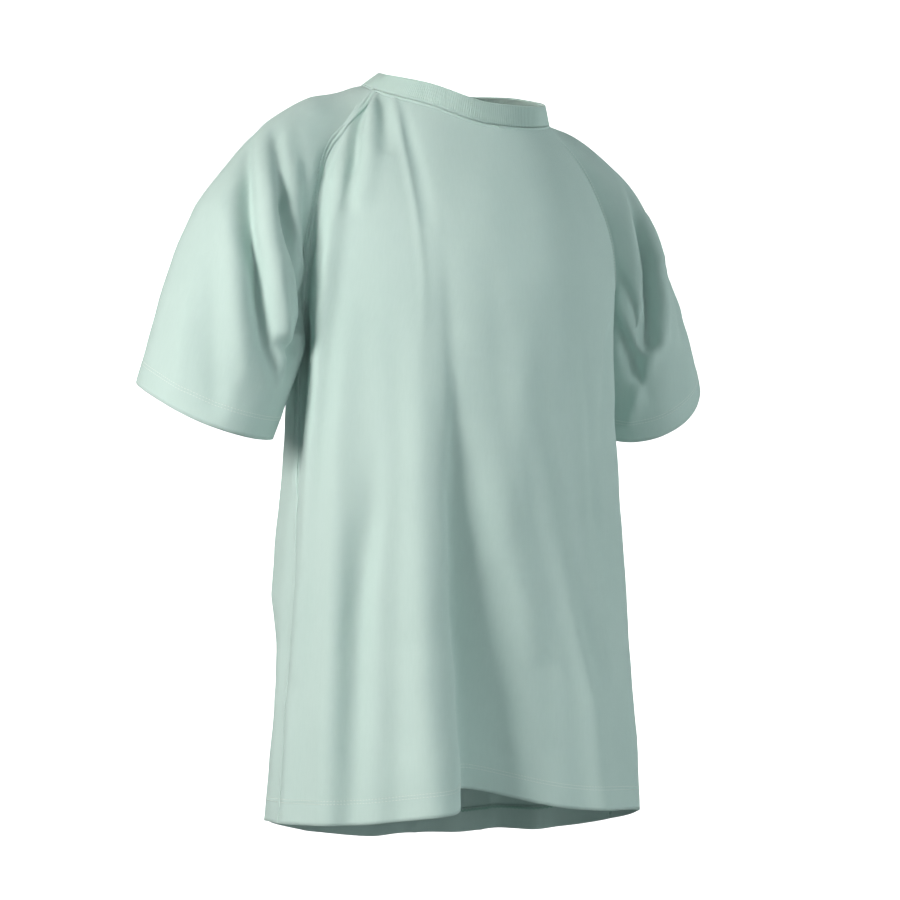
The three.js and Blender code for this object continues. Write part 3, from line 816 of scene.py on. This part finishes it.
def soft_ripples(rows, seed, size, amount):
    """Long faint ripples that run down the cloth."""
    out = outward_of(rows)
    moved = rows.copy()
    for j, i in np.ndindex(rows.shape[:2]):
        x, y, z = rows[j, i]
        at = Vector((x / size + seed, y / size, z / (size * 7)))
        moved[j, i] += out[j, i] * noise.noise(at) * amount
    return moved


front_hung = soft_ripples(front_hung, 0, 38, 1.3)
back_hung = soft_ripples(back_hung, 0, 36, 2.0)
left_hung, right_hung = soft_ripples(left_hung, 0, 32, 1.3), soft_ripples(right_hung, 0, 32, 1.3)


def sew_to_neck(rows):
    """Brings the top edge onto the neck seam, and the rows below it part of the way."""
    ring = []
    for x, y, _ in rows[-1]:
        ring.append(neck_point(math.degrees(math.atan2(x / NECK_HALF_WIDTH, -y / NECK_HALF_DEPTH))))
    fade = ease(np.arange(len(rows)), len(rows) - 15, len(rows) - 1)
    return rows + fade[:, None, None] * (ring - rows[-1])


front_hung, back_hung, left_hung, right_hung = (
    sew_to_neck(r) for r in (front_hung, back_hung, left_hung, right_hung)
)
sew_edges(front_hung, back_hung, left_hung, right_hung, 2)
front_hung, back_hung, left_hung, right_hung = (
    r * MM for r in (front_hung, back_hung, left_hung, right_hung)
)
print("rows after creasing:", front_hung.shape, back_hung.shape, left_hung.shape)

# %% [markdown]
# ## The knitted cloth
# Cotton jersey is a fine knit: upright ribs of loops, called wales, about 0.7 mm apart, under a soft nap.
# The colour is a pale mint that is slightly uneven, because the yarn takes dye unevenly. The pattern
# follows each cloth's own map, in metres, so that the wales run up the gown as they do on the roll.

# %% Cloth material


def feed(tree, made, inputs):
    """Sets sockets of a node, by name or place. Each takes a value or another node's output."""
    for key, value in inputs.items():
        if isinstance(value, bpy.types.NodeSocket):
            tree.links.new(value, made.inputs[key])
        else:
            made.inputs[key].default_value = value


def node(tree, kind, inputs, **settings):
    """Adds a shader node with its settings and inputs, and returns its outputs."""
    made = tree.nodes.new(kind)
    for key, value in settings.items():
        setattr(made, key, value)
    feed(tree, made, inputs)
    return made.outputs


def sum_of(tree, operation, *terms):
    return node(tree, "ShaderNodeMath", dict(enumerate(terms)), operation=operation)[0]


def speckle(tree, at, scale, detail, roughness=0.5):
    sizes = {"Vector": at, "Scale": scale, "Detail": detail, "Roughness": roughness}
    return node(tree, "ShaderNodeTexNoise", sizes)["Fac"]


def mix(tree, share, low, high):
    colours = {"A": (*low, 1), "B": (*high, 1), "Factor": share}
    return node(tree, "ShaderNodeMix", colours, data_type="RGBA")["Result"]


def new_material(name):
    """A material, its tree, its shader, and the places that its patterns can follow."""
    material = bpy.data.materials.new(name)
    material.use_nodes = True
    tree = material.node_tree
    return material, tree, tree.nodes["Principled BSDF"], node(tree, "ShaderNodeTexCoord", {})


def knit(name, colour, deep, wales=1400, courses=1150, height=0.0001, nap=0.00035):
    """Jersey of one colour. wales and courses are the loops in a metre, across and up."""
    material, tree, shader, place = new_material(name)
    cut = node(tree, "ShaderNodeSeparateXYZ", {0: place["UV"]})
    wale = sum_of(tree, "SINE", sum_of(tree, "MULTIPLY", cut["X"], wales * 2 * math.pi))
    course = sum_of(tree, "SINE", sum_of(tree, "MULTIPLY", cut["Y"], courses * 2 * math.pi))
    loops = sum_of(tree, "MULTIPLY_ADD", course, 0.35, wale)
    stretched = node(tree, "ShaderNodeMapping", {"Vector": place["UV"], "Scale": (420, 60, 1)})[0]
    fibre = speckle(tree, place["Object"], 900.0, 3.0, 0.6)
    slub = speckle(tree, stretched, 1.0, 4.0, 0.55)
    cloudy = speckle(tree, place["Object"], 9.0, 4.0)
    uneven = sum_of(tree, "MULTIPLY_ADD", slub, 0.7, cloudy)
    shade = mix(tree, sum_of(tree, "MULTIPLY_ADD", uneven, 0.55, 0.45), deep, colour)
    napped = node(tree, "ShaderNodeBump", {"Strength": 0.35, "Distance": nap, "Height": fibre})[0]
    looped = {"Strength": 0.5, "Distance": height, "Height": loops, "Normal": napped}
    inputs = {
        "Base Color": shade,
        "Normal": node(tree, "ShaderNodeBump", looped)[0],
        "Roughness": node(tree, "ShaderNodeMapRange", {0: slub, "To Min": 0.78, "To Max": 0.95})[0],
        "Sheen Weight": 0.25,
        "Sheen Roughness": 0.5,
        "Sheen Tint": (0.9, 1.0, 0.96, 1),
        "Specular IOR Level": 0.2,
    }
    feed(tree, shader, inputs)
    return material


def linear(hex_colour):
    parts = [int(hex_colour[i : i + 2], 16) / 255 for i in (0, 2, 4)]
    return [c / 12.92 if c <= 0.04045 else ((c + 0.055) / 1.055) ** 2.4 for c in parts]


jersey = knit("mint_jersey", linear("c0d8d2"), linear("abc8c1"))
print("cloth material:", jersey.name)

# %% [markdown]
# ## The panels and the sleeves
# Each cloth is its own piece, cut along its seams, and given the thickness of jersey, 0.8 mm, inwards.

# %% Make the four cloths


def mapped_grid(rows, width, length, turned=False):
    """A grid of cloth at rows, with a map in metres of its cut. turned swaps the map's two directions."""
    count_v, count_u = rows.shape[0] - 1, rows.shape[1] - 1
    bm = bmesh.new()
    bmesh.ops.create_grid(bm, x_segments=count_u, y_segments=count_v, size=1)
    cut = bm.loops.layers.uv.new("cut")
    for face in bm.faces:
        for loop in face.loops:
            x, y = loop.vert.co.xy
            place = ((x + 1) / 2 * width, (y + 1) / 2 * length)
            loop[cut].uv = place[::-1] if turned else place
    for v in bm.verts:
        v.co = rows[round((v.co.y + 1) / 2 * count_v), round((v.co.x + 1) / 2 * count_u)]
    return bm


def thick_piece(name, bm, material, thickness):
    """Turns a bmesh into a smooth piece that is thickened inwards, in metres."""
    for face in bm.faces:
        face.smooth = True
    piece = finish_mesh(name, bm)
    piece.data.materials.append(material)
    wall = piece.modifiers.new("thickness", "SOLIDIFY")
    wall.thickness, wall.offset = thickness, -1
    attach(piece, "root")
    return piece


def cloth_piece(name, rows, width, length, material, thickness=0.0008):
    """A cloth with the thickness of jersey, and a map in metres of its cut."""
    bm = mapped_grid(rows, width, length)
    bm.normal_update()
    middle = (rows.shape[0] - 1) // 2, (rows.shape[1] - 1) // 2
    out, centre = Vector(outward_of(rows)[middle]), Vector(rows[middle])
    near = min(bm.faces, key=lambda f: (f.calc_center_median() - centre).length)
    if near.normal.dot(out) < 0:
        bmesh.ops.reverse_faces(bm, faces=bm.faces)
    return thick_piece(name, bm, material, thickness)


# Width, length and area of each cut in metres. The widths and areas are those of the smooth cloths of the
# solid model, with no folds in them and without the 25 mm that is turned up. The lengths are estimates.
# Raglan cuts narrow towards the neck, so each area is well under width times length.
CUTS = {
    "front_panel": (0.565, 0.720, 0.340),
    "back_panel": (0.565, 0.790, 0.345),
    "left_sleeve": (0.440, 0.400, 0.1035),
    "right_sleeve": (0.440, 0.400, 0.1035),
}
cloths = {
    "front_panel": cloth_piece("front_cloth", front_hung, *CUTS["front_panel"][:2], jersey),
    "back_panel": cloth_piece("back_cloth", back_hung, *CUTS["back_panel"][:2], jersey),
    "left_sleeve": cloth_piece("left_sleeve_cloth", left_hung, *CUTS["left_sleeve"][:2], jersey),
    "right_sleeve": cloth_piece("right_sleeve_cloth", right_hung, *CUTS["right_sleeve"][:2], jersey),
}
for solid, piece in cloths.items():
    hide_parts(solid)
    area = sum(f.area for f in piece.data.polygons)
    print(piece.name, "measures", round(area, 4), "square metres, and its cut is", CUTS[solid][2])

# %% [markdown]
# ## The folded hems
# A hem is the same cloth turned up inside and stitched down. So each hem has a second layer, 25 mm high,
# inside the first. It also wraps round the lower edge, which gives the edge its soft fold.

# %% Fold the hems
HEM = 25
HEM_ROWS = 16  # the rows from the edge that a hem lies in, with some to spare


def column_lengths(rows):
    """How far each point lies above the hem, measured up its column, in millimetres."""
    steps = np.linalg.norm(np.diff(rows, axis=0), axis=-1) / MM
    return np.concatenate([np.zeros((1, rows.shape[1])), np.cumsum(steps, axis=0)])


def at_height(rows, height, inward=0.0):
    """The line round a cloth that lies height above its hem, and the way out along it, in metres."""
    lengths, out = column_lengths(rows[:HEM_ROWS]), outward_of(rows)[:HEM_ROWS]
    line, ways = [], []
    for i in range(rows.shape[1]):
        line.append([np.interp(height, lengths[:, i], rows[:HEM_ROWS, i, k]) for k in range(3)])
        ways.append([np.interp(height, lengths[:, i], out[:, i, k]) for k in range(3)])
    line, ways = np.array(line), np.array(ways)
    ways /= np.linalg.norm(ways, axis=1, keepdims=True)
    down = rows[0] - rows[1]
    down /= np.linalg.norm(down, axis=1, keepdims=True)
    if height < 0:
        line = line - down * height * MM
    return line - ways * inward * MM, ways


def hem_fold(name, rows):
    """The turned-up layer of a hem, as far as round the lower edge."""
    profile = [(height, 1.0) for height in (HEM, 21, 17, 13, 9, 5, 2)] + [(0.6, 0.95), (-0.1, 0.8)]
    layers = np.array([at_height(rows, height, inward)[0] for height, inward in profile])
    piece = cloth_piece(name, layers[::-1], 0.575, HEM * MM, jersey)
    return piece


hems = {
    "front": hem_fold("front_hem_fold", front_hung),
    "back": hem_fold("back_hem_fold", back_hung),
    "left": hem_fold("left_sleeve_hem_fold", left_hung),
    "right": hem_fold("right_sleeve_hem_fold", right_hung),
}
print("hem folds:", [h.name for h in hems.values()])

# %% [markdown]
# ## Seams
# A seam shows outside as a low ridge with a groove down its middle, slightly puckered by the thread. It
# is made as a narrow strip that follows the line where two cloths meet, so that it also closes the join.

# %% Make a strip along a seam


def even_line(points, ways, step, closed=False):
    """Points every step along a line, with the way out and the way along at each."""
    if closed:
        points, ways = np.vstack([points, points[:1]]), np.vstack([ways, ways[:1]])
    length = np.r_[0, np.cumsum(np.linalg.norm(np.diff(points, axis=0), axis=1))]
    count = max(2, round(length[-1] / step))
    at = np.linspace(0, length[-1], count, endpoint=False) if closed else np.linspace(0, length[-1], count)
    place = np.stack([np.interp(at, length, points[:, k]) for k in range(3)], -1)
    out = np.stack([np.interp(at, length, ways[:, k]) for k in range(3)], -1)
    ahead = np.roll(place, -1, 0) - np.roll(place, 1, 0) if closed else np.gradient(place, axis=0)
    ahead /= np.linalg.norm(ahead, axis=1, keepdims=True)
    out -= ahead * (out * ahead).sum(1, keepdims=True)
    out /= np.linalg.norm(out, axis=1, keepdims=True)
    return place, out, ahead


bm = bmesh.new()
for rows in (front_hung, back_hung, left_hung, right_hung):
    grid_mesh(bm, rows / MM)
skin = BVHTree.FromBMesh(bm)
bm.free()


def on_cloth(point, out, rise):
    """The nearest place on the cloth, moved out by rise in millimetres."""
    place, way, _, _ = skin.find_nearest(Vector(point))
    way = np.array(way) * (1 if np.dot(way, out) >= 0 else -1)
    return np.array(place) + way * rise * MM


SEAM_STEP = 2.2  # from one row of a seam's strip to the next
GROOVE_WIDTH = 0.1  # as a share of the strip's half width
STRIP_TUCK = 0.45  # how far the strip's edges are tucked into the cloth


def seam_strip(name, line, ways, half_width, height, closed=False, groove=0.6):
    """A low ridge with a groove, over a line. Sizes are in millimetres."""
    place, out, ahead = even_line(line, ways, SEAM_STEP * MM, closed)
    aside = np.cross(out, ahead)
    if closed:
        place, out, aside = (np.vstack([a, a[:1]]) for a in (place, out, aside))
    shares = np.array([-1, -0.8, -0.5, -0.22, -0.08, 0, 0.08, 0.22, 0.5, 0.8, 1])
    strip = []
    for n, (p, o, a) in enumerate(zip(place, out, aside)):
        pucker = 0.12 * noise.noise(Vector(p) * 160) + 0.05 * math.sin(n * 1.45)
        dip = groove * height * np.exp(-((shares / GROOVE_WIDTH) ** 2))
        rise = 0.1 + height * (1 - np.abs(shares) ** 3) - dip + pucker * height
        rise[[0, -1]] = -STRIP_TUCK
        flat_on = p + np.outer(shares * half_width * MM, a)
        strip.append([on_cloth(q, o, r) for q, r in zip(flat_on, rise)])
    strip = np.array(strip)
    return cloth_piece(name, strip, 2 * half_width * MM, len(place) * SEAM_STEP * MM, jersey, 0.0006)


def edge_of(rows, where, other, other_where):
    """The line where two cloths meet, and the way out there."""
    ways = outward_of(rows)[where] + outward_of(other)[other_where]
    return rows[where], ways / np.linalg.norm(ways, axis=1, keepdims=True)


below, above, tube, cap = stretches(2)
seam_lines = {
    "left_front_raglan_seam": edge_of(front_hung, (above, -1), left_hung, (cap, 0)),
    "left_back_raglan_seam": edge_of(back_hung, (above, 0), left_hung, (cap, -1)),
    "right_front_raglan_seam": edge_of(front_hung, (above, 0), right_hung, (cap, -1)),
    "right_back_raglan_seam": edge_of(back_hung, (above, -1), right_hung, (cap, 0)),
    "left_side_seam": edge_of(front_hung, (below, -1), back_hung, (below, 0)),
    "right_side_seam": edge_of(front_hung, (below, 0), back_hung, (below, -1)),
    "left_underarm_seam": edge_of(left_hung, (tube, 0), left_hung, (tube, -1)),
    "right_underarm_seam": edge_of(right_hung, (tube, 0), right_hung, (tube, -1)),
}
RAGLAN_RIDGE, OTHER_RIDGE = (3.6, 0.6), (1.8, 0.35)  # half width and height
for name, (line, ways) in seam_lines.items():
    ridge = RAGLAN_RIDGE if "raglan" in name else OTHER_RIDGE
    seam_strip(name + "_ridge", line, ways, *ridge)
    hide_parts(name)

# %% [markdown]
# ## Stitches
# The hems and the raglan seams are topstitched with two parallel rows. Each stitch is a tapered grain of
# thread that lies in the surface, a little over 2 mm long outside, and twice that for the slanting loops
# inside. There are thousands, so each has only twenty faces.

# %% Thread material


def spun_thread(name, colour):
    material, tree, shader, place = new_material(name)
    twist = speckle(tree, place["Object"], 2600.0, 2.0)
    inputs = {
        "Base Color": mix(tree, twist, [c * 0.82 for c in colour], colour),
        "Normal": node(tree, "ShaderNodeBump", {"Strength": 0.4, "Distance": 0.0001, "Height": twist})[0],
        "Roughness": 0.55,
        "Sheen Weight": 0.2,
    }
    feed(tree, shader, inputs)
    return material


pale_thread = spun_thread("pale_mint_thread", linear("e2f1ea"))
deep_thread = spun_thread("deep_mint_thread", linear("5fae93"))

# %% Sew rows of stitches


def stitch_rows(name, rows_of_line, material, pitch=3.2, length=2.5, thick=0.8, tilt=0.0, sewn_on=False):
    """Stitches along lines. Each line is (points, ways out, shift aside in mm, rise in mm, closed)."""
    bm = bmesh.new()
    for line, ways, aside_mm, rise, closed in rows_of_line:
        place, out, ahead = even_line(line, ways, pitch * MM, closed)
        aside = np.cross(out, ahead)
        if not closed:
            place, out, ahead, aside = place[1:-1], out[1:-1], ahead[1:-1], aside[1:-1]
        for n, (p, o, f, a) in enumerate(zip(place, out, ahead, aside)):
            angle = tilt if tilt == 0 else (tilt if n % 2 else -tilt)
            f2 = f * math.cos(angle) + a * math.sin(angle)
            a2 = a * math.cos(angle) - f * math.sin(angle)
            at = p + a * aside_mm * MM
            at = on_cloth(at, o, rise) if sewn_on else at + o * rise * MM
            size = (length / 2 * MM, thick / 2 * MM, thick / 2.6 * MM)
            rows = [[f2[k] * size[0], a2[k] * size[1], o[k] * size[2], at[k]] for k in range(3)]
            bmesh.ops.create_icosphere(bm, subdivisions=1, radius=1, matrix=Matrix([*rows, [0, 0, 0, 1]]))
    bmesh.ops.recalc_face_normals(bm, faces=bm.faces)
    for face in bm.faces:
        face.smooth = True
    piece = finish_mesh(name, bm)
    piece.data.materials.append(material)
    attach(piece, "root")
    return piece


RAGLAN_STITCH_ASIDE, RAGLAN_STITCH_RISE, HEM_STITCH_RISE = 2.2, 0.62, 0.16
raglan_stitches = []
for name in [n for n in seam_lines if "raglan" in n]:
    sides = (RAGLAN_STITCH_ASIDE, -RAGLAN_STITCH_ASIDE)
    both_rows = [(*seam_lines[name], aside, RAGLAN_STITCH_RISE, False) for aside in sides]
    stitches_name = name.replace("_seam", "_stitches")
    raglan_stitches.append(stitch_rows(stitches_name, both_rows, pale_thread, sewn_on=True))


def ring_at(rows_list, height, inward):
    parts = [at_height(rows, height, inward) for rows in rows_list]
    points = np.vstack([p[0][:-1] for p in parts])
    ways = np.vstack([p[1][:-1] for p in parts])
    return points, ways


body = (front_hung, back_hung)
hem_stitches = {
    "body_hem_stitching": ("body_hem_stitches", body),
    "left_sleeve_hem_stitching": ("left_sleeve_hem_stitches", (left_hung,)),
    "right_sleeve_hem_stitching": ("right_sleeve_hem_stitches", (right_hung,)),
}
sewn_hems, looped_hems = {}, {}
for solid, (name, rows_list) in hem_stitches.items():
    outer_rows = [(*ring_at(rows_list, HEM - drop, 0), 0, HEM_STITCH_RISE, True) for drop in (2, 5)]
    inner = ring_at(rows_list, HEM - 3, 1.9)
    sewn_hems[solid] = stitch_rows(name, outer_rows, pale_thread, sewn_on=True)
    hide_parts(solid)
    looped_hems[solid] = stitch_rows(
        name.replace("stitches", "loops"), [(*inner, 0, 0, True)],
        deep_thread, 2.4, 4.6, 0.8, math.radians(52),
    )
print("stitch pieces:", len(raglan_stitches) + len(sewn_hems) + len(looped_hems))

# %% [markdown]
# ## The neck band
# The band is a double strip of rib knit, 22 mm high, that stands on the neck seam and leans in a little.
# Rib knit has upright ridges about 2 mm apart. They show clearly, so they are shaped and not only
# painted. The strip runs up the outside, over the top fold and down the inside, and every point of it is
# moved out on a ridge and in between two.

# %% Make the ribbed neck band
BAND, BAND_LEAN, BAND_THICK, RIBS, RIB_HEIGHT = 22, math.radians(18), 2.3, 276, 0.42
RIB_CUT = (0.56, 0.046)
neck_up = np.array([0, -math.sin(NECK_TILT), math.cos(NECK_TILT)])


def neck_in(degrees):
    inward = -neck_point(degrees)
    return inward / np.linalg.norm(inward)


def band_rows():
    """One strip of rib knit, up the outside, over the top fold and down the inside."""
    half, section = BAND_THICK / 2, []
    for t in np.linspace(0, 1, 10):
        section.append((1.2 + t * (BAND - 2.4), half * (0.8 + 0.2 * math.sin(math.pi * t)), 1))
    for a in np.linspace(65, -65, 5):
        section.append((BAND - 1.2 + 1.2 * math.cos(math.radians(a)), half * math.sin(math.radians(a)), 0.5))
    for t in np.linspace(1, 0, 10):
        section.append((1.2 + t * (BAND - 2.4), -half * (0.8 + 0.2 * math.sin(math.pi * t)), 1))
    around = []
    for degrees in np.linspace(0, 360, RIBS * 4 + 1):
        inward = neck_in(degrees)
        # With no neck to hold it up, the back of the band leans in further than the front.
        lean_in = BAND_LEAN * (0.8 + 1.6 * ease(-math.cos(math.radians(degrees)), -0.9, 0.2))
        up = neck_up * math.cos(lean_in) + inward * math.sin(lean_in)
        through_ = neck_up * math.sin(lean_in) - inward * math.cos(lean_in)
        ridge = RIB_HEIGHT * math.cos(math.radians(degrees * RIBS))
        wave = 0.5 * math.sin(math.radians(degrees * 5 + 40)) + 0.4 * math.sin(math.radians(degrees * 3))
        ring = []
        for height, wall, share in section:
            side = 1 if wall >= 0 else -1
            lean = 0.6 * wave * height / BAND
            ring.append(neck_point(degrees) + up * height + through_ * (wall + side * ridge * share + lean))
        around.append(ring)
    return np.array(around) * MM


# The ridges are in the shape, and the fine loops of each are in the bump.
rib = knit("mint_rib", linear("c0d8d1"), linear("a8c7be"), wales=1000, courses=1300, height=0.00015)
bm = mapped_grid(band_rows(), RIB_CUT[1], RIB_CUT[0], turned=True)
bmesh.ops.remove_doubles(bm, verts=bm.verts, dist=1e-6)
bmesh.ops.recalc_face_normals(bm, faces=bm.faces)
neck_band = thick_piece("ribbed_neck_band", bm, rib, 0.0007)
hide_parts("neck_band")
print("neck band faces:", len(neck_band.data.polygons))

# %% [markdown]
# ## The neck seam, tape and labels
# The seam under the band is a narrow ridge. Inside, at the back, a tape covers the seam, and a blank
# label hangs from it. A second blank label is sewn into the side seam.

# %% Neck seam and tape
ring_degrees = np.linspace(0, 360, 181)[:-1]
neck_line = np.array([neck_point(d) for d in ring_degrees]) * MM
neck_ways = np.array([-neck_in(d) * 0.9 + neck_up * 0.45 for d in ring_degrees])
neck_ways /= np.linalg.norm(neck_ways, axis=1, keepdims=True)
neck_ridge = seam_strip("neck_seam_ridge", neck_line, neck_ways, 2.4, 0.9, closed=True, groove=0.3)
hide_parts("neck_seam")


def tape_point(degrees, height, inward):
    return (neck_point(degrees) + neck_in(degrees) * inward + neck_up * height) * MM


TAPE_FROM, TAPE_TO, TAPE_INSIDE = 108, 252, 2.4  # degrees round the neck, and millimetres
tape_rows = []
for degrees in np.linspace(TAPE_FROM, TAPE_TO, 90):
    tape_rows.append([tape_point(degrees, height, TAPE_INSIDE) for height in np.linspace(-9, -0.4, 5)])
tape_rows = np.array(tape_rows)
neck_tape = cloth_piece("neck_seam_tape", tape_rows, 0.009, 0.25, jersey, 0.0005)
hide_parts("neck_tape")
tape_lines = []
for height in (-8, -1.6):
    sewn_degrees = np.linspace(TAPE_FROM + 1, TAPE_TO - 1, 90)
    line = np.array([tape_point(d, height, 2.7) for d in sewn_degrees])
    ways = np.array([neck_in(d) for d in sewn_degrees])
    tape_lines.append((line, ways, 0, 0.1, False))
tape_stitches = stitch_rows("neck_tape_stitches", tape_lines, pale_thread, 3.0, 2.3, 0.5)

# %% Blank labels


def woven_label(name):
    """Fine plain weave, nearly white, with a slight sheen."""
    material, tree, shader, place = new_material(name)
    threads = {"Color1": (*linear("f4f6f2"), 1), "Color2": (*linear("e2e8e2"), 1)}
    weave = node(tree, "ShaderNodeTexChecker", {"Vector": place["Object"], "Scale": 3200.0, **threads})
    relief = {"Strength": 0.3, "Distance": 0.00008, "Height": weave["Fac"]}
    inputs = {
        "Base Color": weave["Color"],
        "Normal": node(tree, "ShaderNodeBump", relief)[0],
        "Roughness": 0.6,
        "Sheen Weight": 0.15,
    }
    feed(tree, shader, inputs)
    return material


label_cloth = woven_label("white_label_tape")


def label(name, solid, at_top, sewn_to):
    """A blank label the size of its solid, gently curved, with a row of stitches at its sewn edge.
    That edge is the top one or the +X one, and sewn_to is where its middle goes."""
    low, high = (np.array(c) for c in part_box(solid))
    sewn_edge, sewn_axis = (low + high) / 2, 2 if at_top else 0
    sewn_edge[sewn_axis] = high[sewn_axis]
    low, high = low + sewn_to - sewn_edge, high + sewn_to - sewn_edge
    rows = []
    for v in np.linspace(0, 1, 15):
        row = []
        for u in np.linspace(0, 1, 13):
            p = low + (high - low) * np.array([u, 0.5, v])
            curl = (1 - v) ** 2 * 2.2 * MM if at_top else (1 - u) ** 2 * 2.6 * MM
            row.append(p + np.array([0, -curl + 0.3 * MM * math.sin(5 * u + 3 * v), 0]))
        rows.append(row)
    rows = np.array(rows)
    piece = cloth_piece(name, rows, 0.04, 0.03, label_cloth, 0.0004)
    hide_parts(solid)
    lines = rows if at_top else rows.transpose(1, 0, 2)
    sewn = lines[-1] * 0.92 + lines[-3] * 0.08
    ways = np.tile([0.0, -1.0, 0.0], (len(sewn), 1))
    stitches = stitch_rows(name + "_stitches", [(sewn, ways, 0, 0.35, False)], pale_thread, 2.6, 2.0, 0.45)
    return piece, stitches


neck_low, neck_high = (np.array(c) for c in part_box("size_label"))
neck_spot = np.array([0, (neck_low[1] + neck_high[1]) / 2, neck_high[2] - BACK_NECK_SAG * MM])
size_label, size_label_stitches = label("blank_neck_label", "size_label", True, neck_spot)
SIDE_LABEL_INSIDE = 0.0045  # from the side seam to the label's sewn edge, in metres
side_line = front_hung[:, -1]
side_low, side_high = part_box("care_label")
side_spot = side_line[np.argmin(np.abs(side_line[:, 2] - side_low[2]))]
side_spot = np.array([side_spot[0] - SIDE_LABEL_INSIDE, side_spot[1], np.mean([side_low[2], side_high[2]])])
care_label, care_label_stitches = label("blank_side_label", "care_label", False, side_spot)
print("labels:", size_label.name, care_label.name)

# %% [markdown]
# ## The seams inside
# Inside, the raw edges of each seam are trimmed together and covered by thread, and lie flat to one side.

# %% Overlocked seam edges inside
inside_seams = []
for name, (line, ways) in seam_lines.items():
    place, out, ahead = even_line(line, ways, 3 * MM)
    aside = np.cross(out, ahead)
    rows = []
    for p, o, a in zip(place[1:-1], out[1:-1], aside[1:-1]):
        rows.append([p - o * (1.2 + 0.15 * k) * MM + a * (k * 1.4 - 0.4) * MM for k in range(5)])
    rows = np.array(rows)
    edge = cloth_piece(name + "_allowance", rows, 0.006, len(rows) * 0.003, jersey, 0.0009)
    middle = rows[:, 2] - out[1:-1] * 0.5 * MM
    sewn_line = (middle, -out[1:-1], 0, 0.3, False)
    loops = stitch_rows(name + "_overlock", [sewn_line], deep_thread, 2.6, 5.0, 0.55, math.radians(68))
    inside_seams += [edge, loops]
print("inside seam pieces:", len(inside_seams))

# %% [markdown]
# ## Which cloth is cut to what size
# The size that each cloth was cut to is given in CUTS, where the cloths are made.

print("cut sizes are given in CUTS")

# %% [markdown]
# ## The room
# A plain pale room with five soft lamps. The strongest stands on the wearer's right, a little above the
# neck, and a larger weaker one in front on the left. The others are a low one, one behind, and one at the
# camera's right. The floor and walls are bright to look at and light nothing, so that the lamps alone
# shape the folds.

# %% Floor, wall and lights


def plain_wall(name, size, place, turn_):
    bm = bmesh.new()
    bmesh.ops.create_grid(bm, x_segments=1, y_segments=1, size=size / 2)
    bmesh.ops.transform(bm, matrix=Matrix.Translation(place) @ turn_, verts=bm.verts)
    piece = finish_mesh(name, bm)
    material, tree, shader, _ = new_material(name)
    glow = {"Emission Color": (1, 1, 1, 1), "Emission Strength": 1.0}
    feed(tree, shader, {"Base Color": (0.95, 0.95, 0.95, 1), "Roughness": 1, **glow})
    piece.data.materials.append(material)
    piece.visible_diffuse = piece.visible_glossy = False
    piece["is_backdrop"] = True
    return piece


ROOM, FLOOR_HEIGHT, WALL_AWAY = 12, -1.35, 5.9
LAMPS_AIM = Vector((0, 0, -0.35))
plain_wall("floor", ROOM, Vector((0, 0, FLOOR_HEIGHT)), Matrix())
facing_camera = Matrix.Rotation(-turn, 4, "Z") @ Matrix.Rotation(math.radians(90), 4, "X")
back_wall = plain_wall("backdrop", ROOM, forward * 3, facing_camera)

for n, way in enumerate((Vector((1, 0, 0)), Vector((-1, 0, 0)), Vector((0, -1, 0)), Vector((0, 1, 0)))):
    facing_in = way.to_track_quat("Z", "Y").to_matrix().to_4x4()
    far_wall = plain_wall(f"far_wall_{n + 1}", ROOM, way * WALL_AWAY, facing_in)
    far_wall.visible_shadow = False
back_wall.visible_shadow = False


def lamp(name, place, size, power, colour=(1, 1, 1)):
    light = bpy.data.lights.new(name, "AREA")
    light.size, light.energy, light.color = size, power, colour
    made = bpy.data.objects.new(name, light)
    bpy.context.scene.collection.objects.link(made)
    made.location = place
    made.rotation_mode = "QUATERNION"
    made.rotation_quaternion = (LAMPS_AIM - Vector(place)).to_track_quat("-Z", "Y")


lamp("key_light", (-2.32, -0.55, 0.25), 0.6, 55, (1, 0.93, 0.9))
lamp("fill_light", (2.0, -2.5, 0.2), 1.6, 33, (0.95, 1, 1))
lamp("right_light", (2.8, -0.6, 0.2), 1.2, 11, (0.97, 1, 1))
lamp("low_light", (-0.5, -2.5, -1.15), 1.2, 6, (0.95, 1, 1))
lamp("back_light", (0.9, 2.0, 0.9), 1.6, 28)
world = bpy.data.worlds.new("room_light")
world.use_nodes = True
world.node_tree.nodes["Background"].inputs["Color"].default_value = (0.9, 1, 1, 1)
world.node_tree.nodes["Background"].inputs["Strength"].default_value = 0.2
bpy.context.scene.world = world
bpy.context.scene.view_settings.view_transform = "Standard"

# %% Check the size and finish
made_low, made_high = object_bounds()
boxes = {"solids": [list(solid_low), list(solid_high)], "made": [list(made_low), list(made_high)]}
corners = zip(boxes["made"], boxes["solids"])
room = [[round((m - s) * 1000, 1) for m, s in zip(made, solid)] for made, solid in corners]
print("room to the solids' box, in mm:", room)
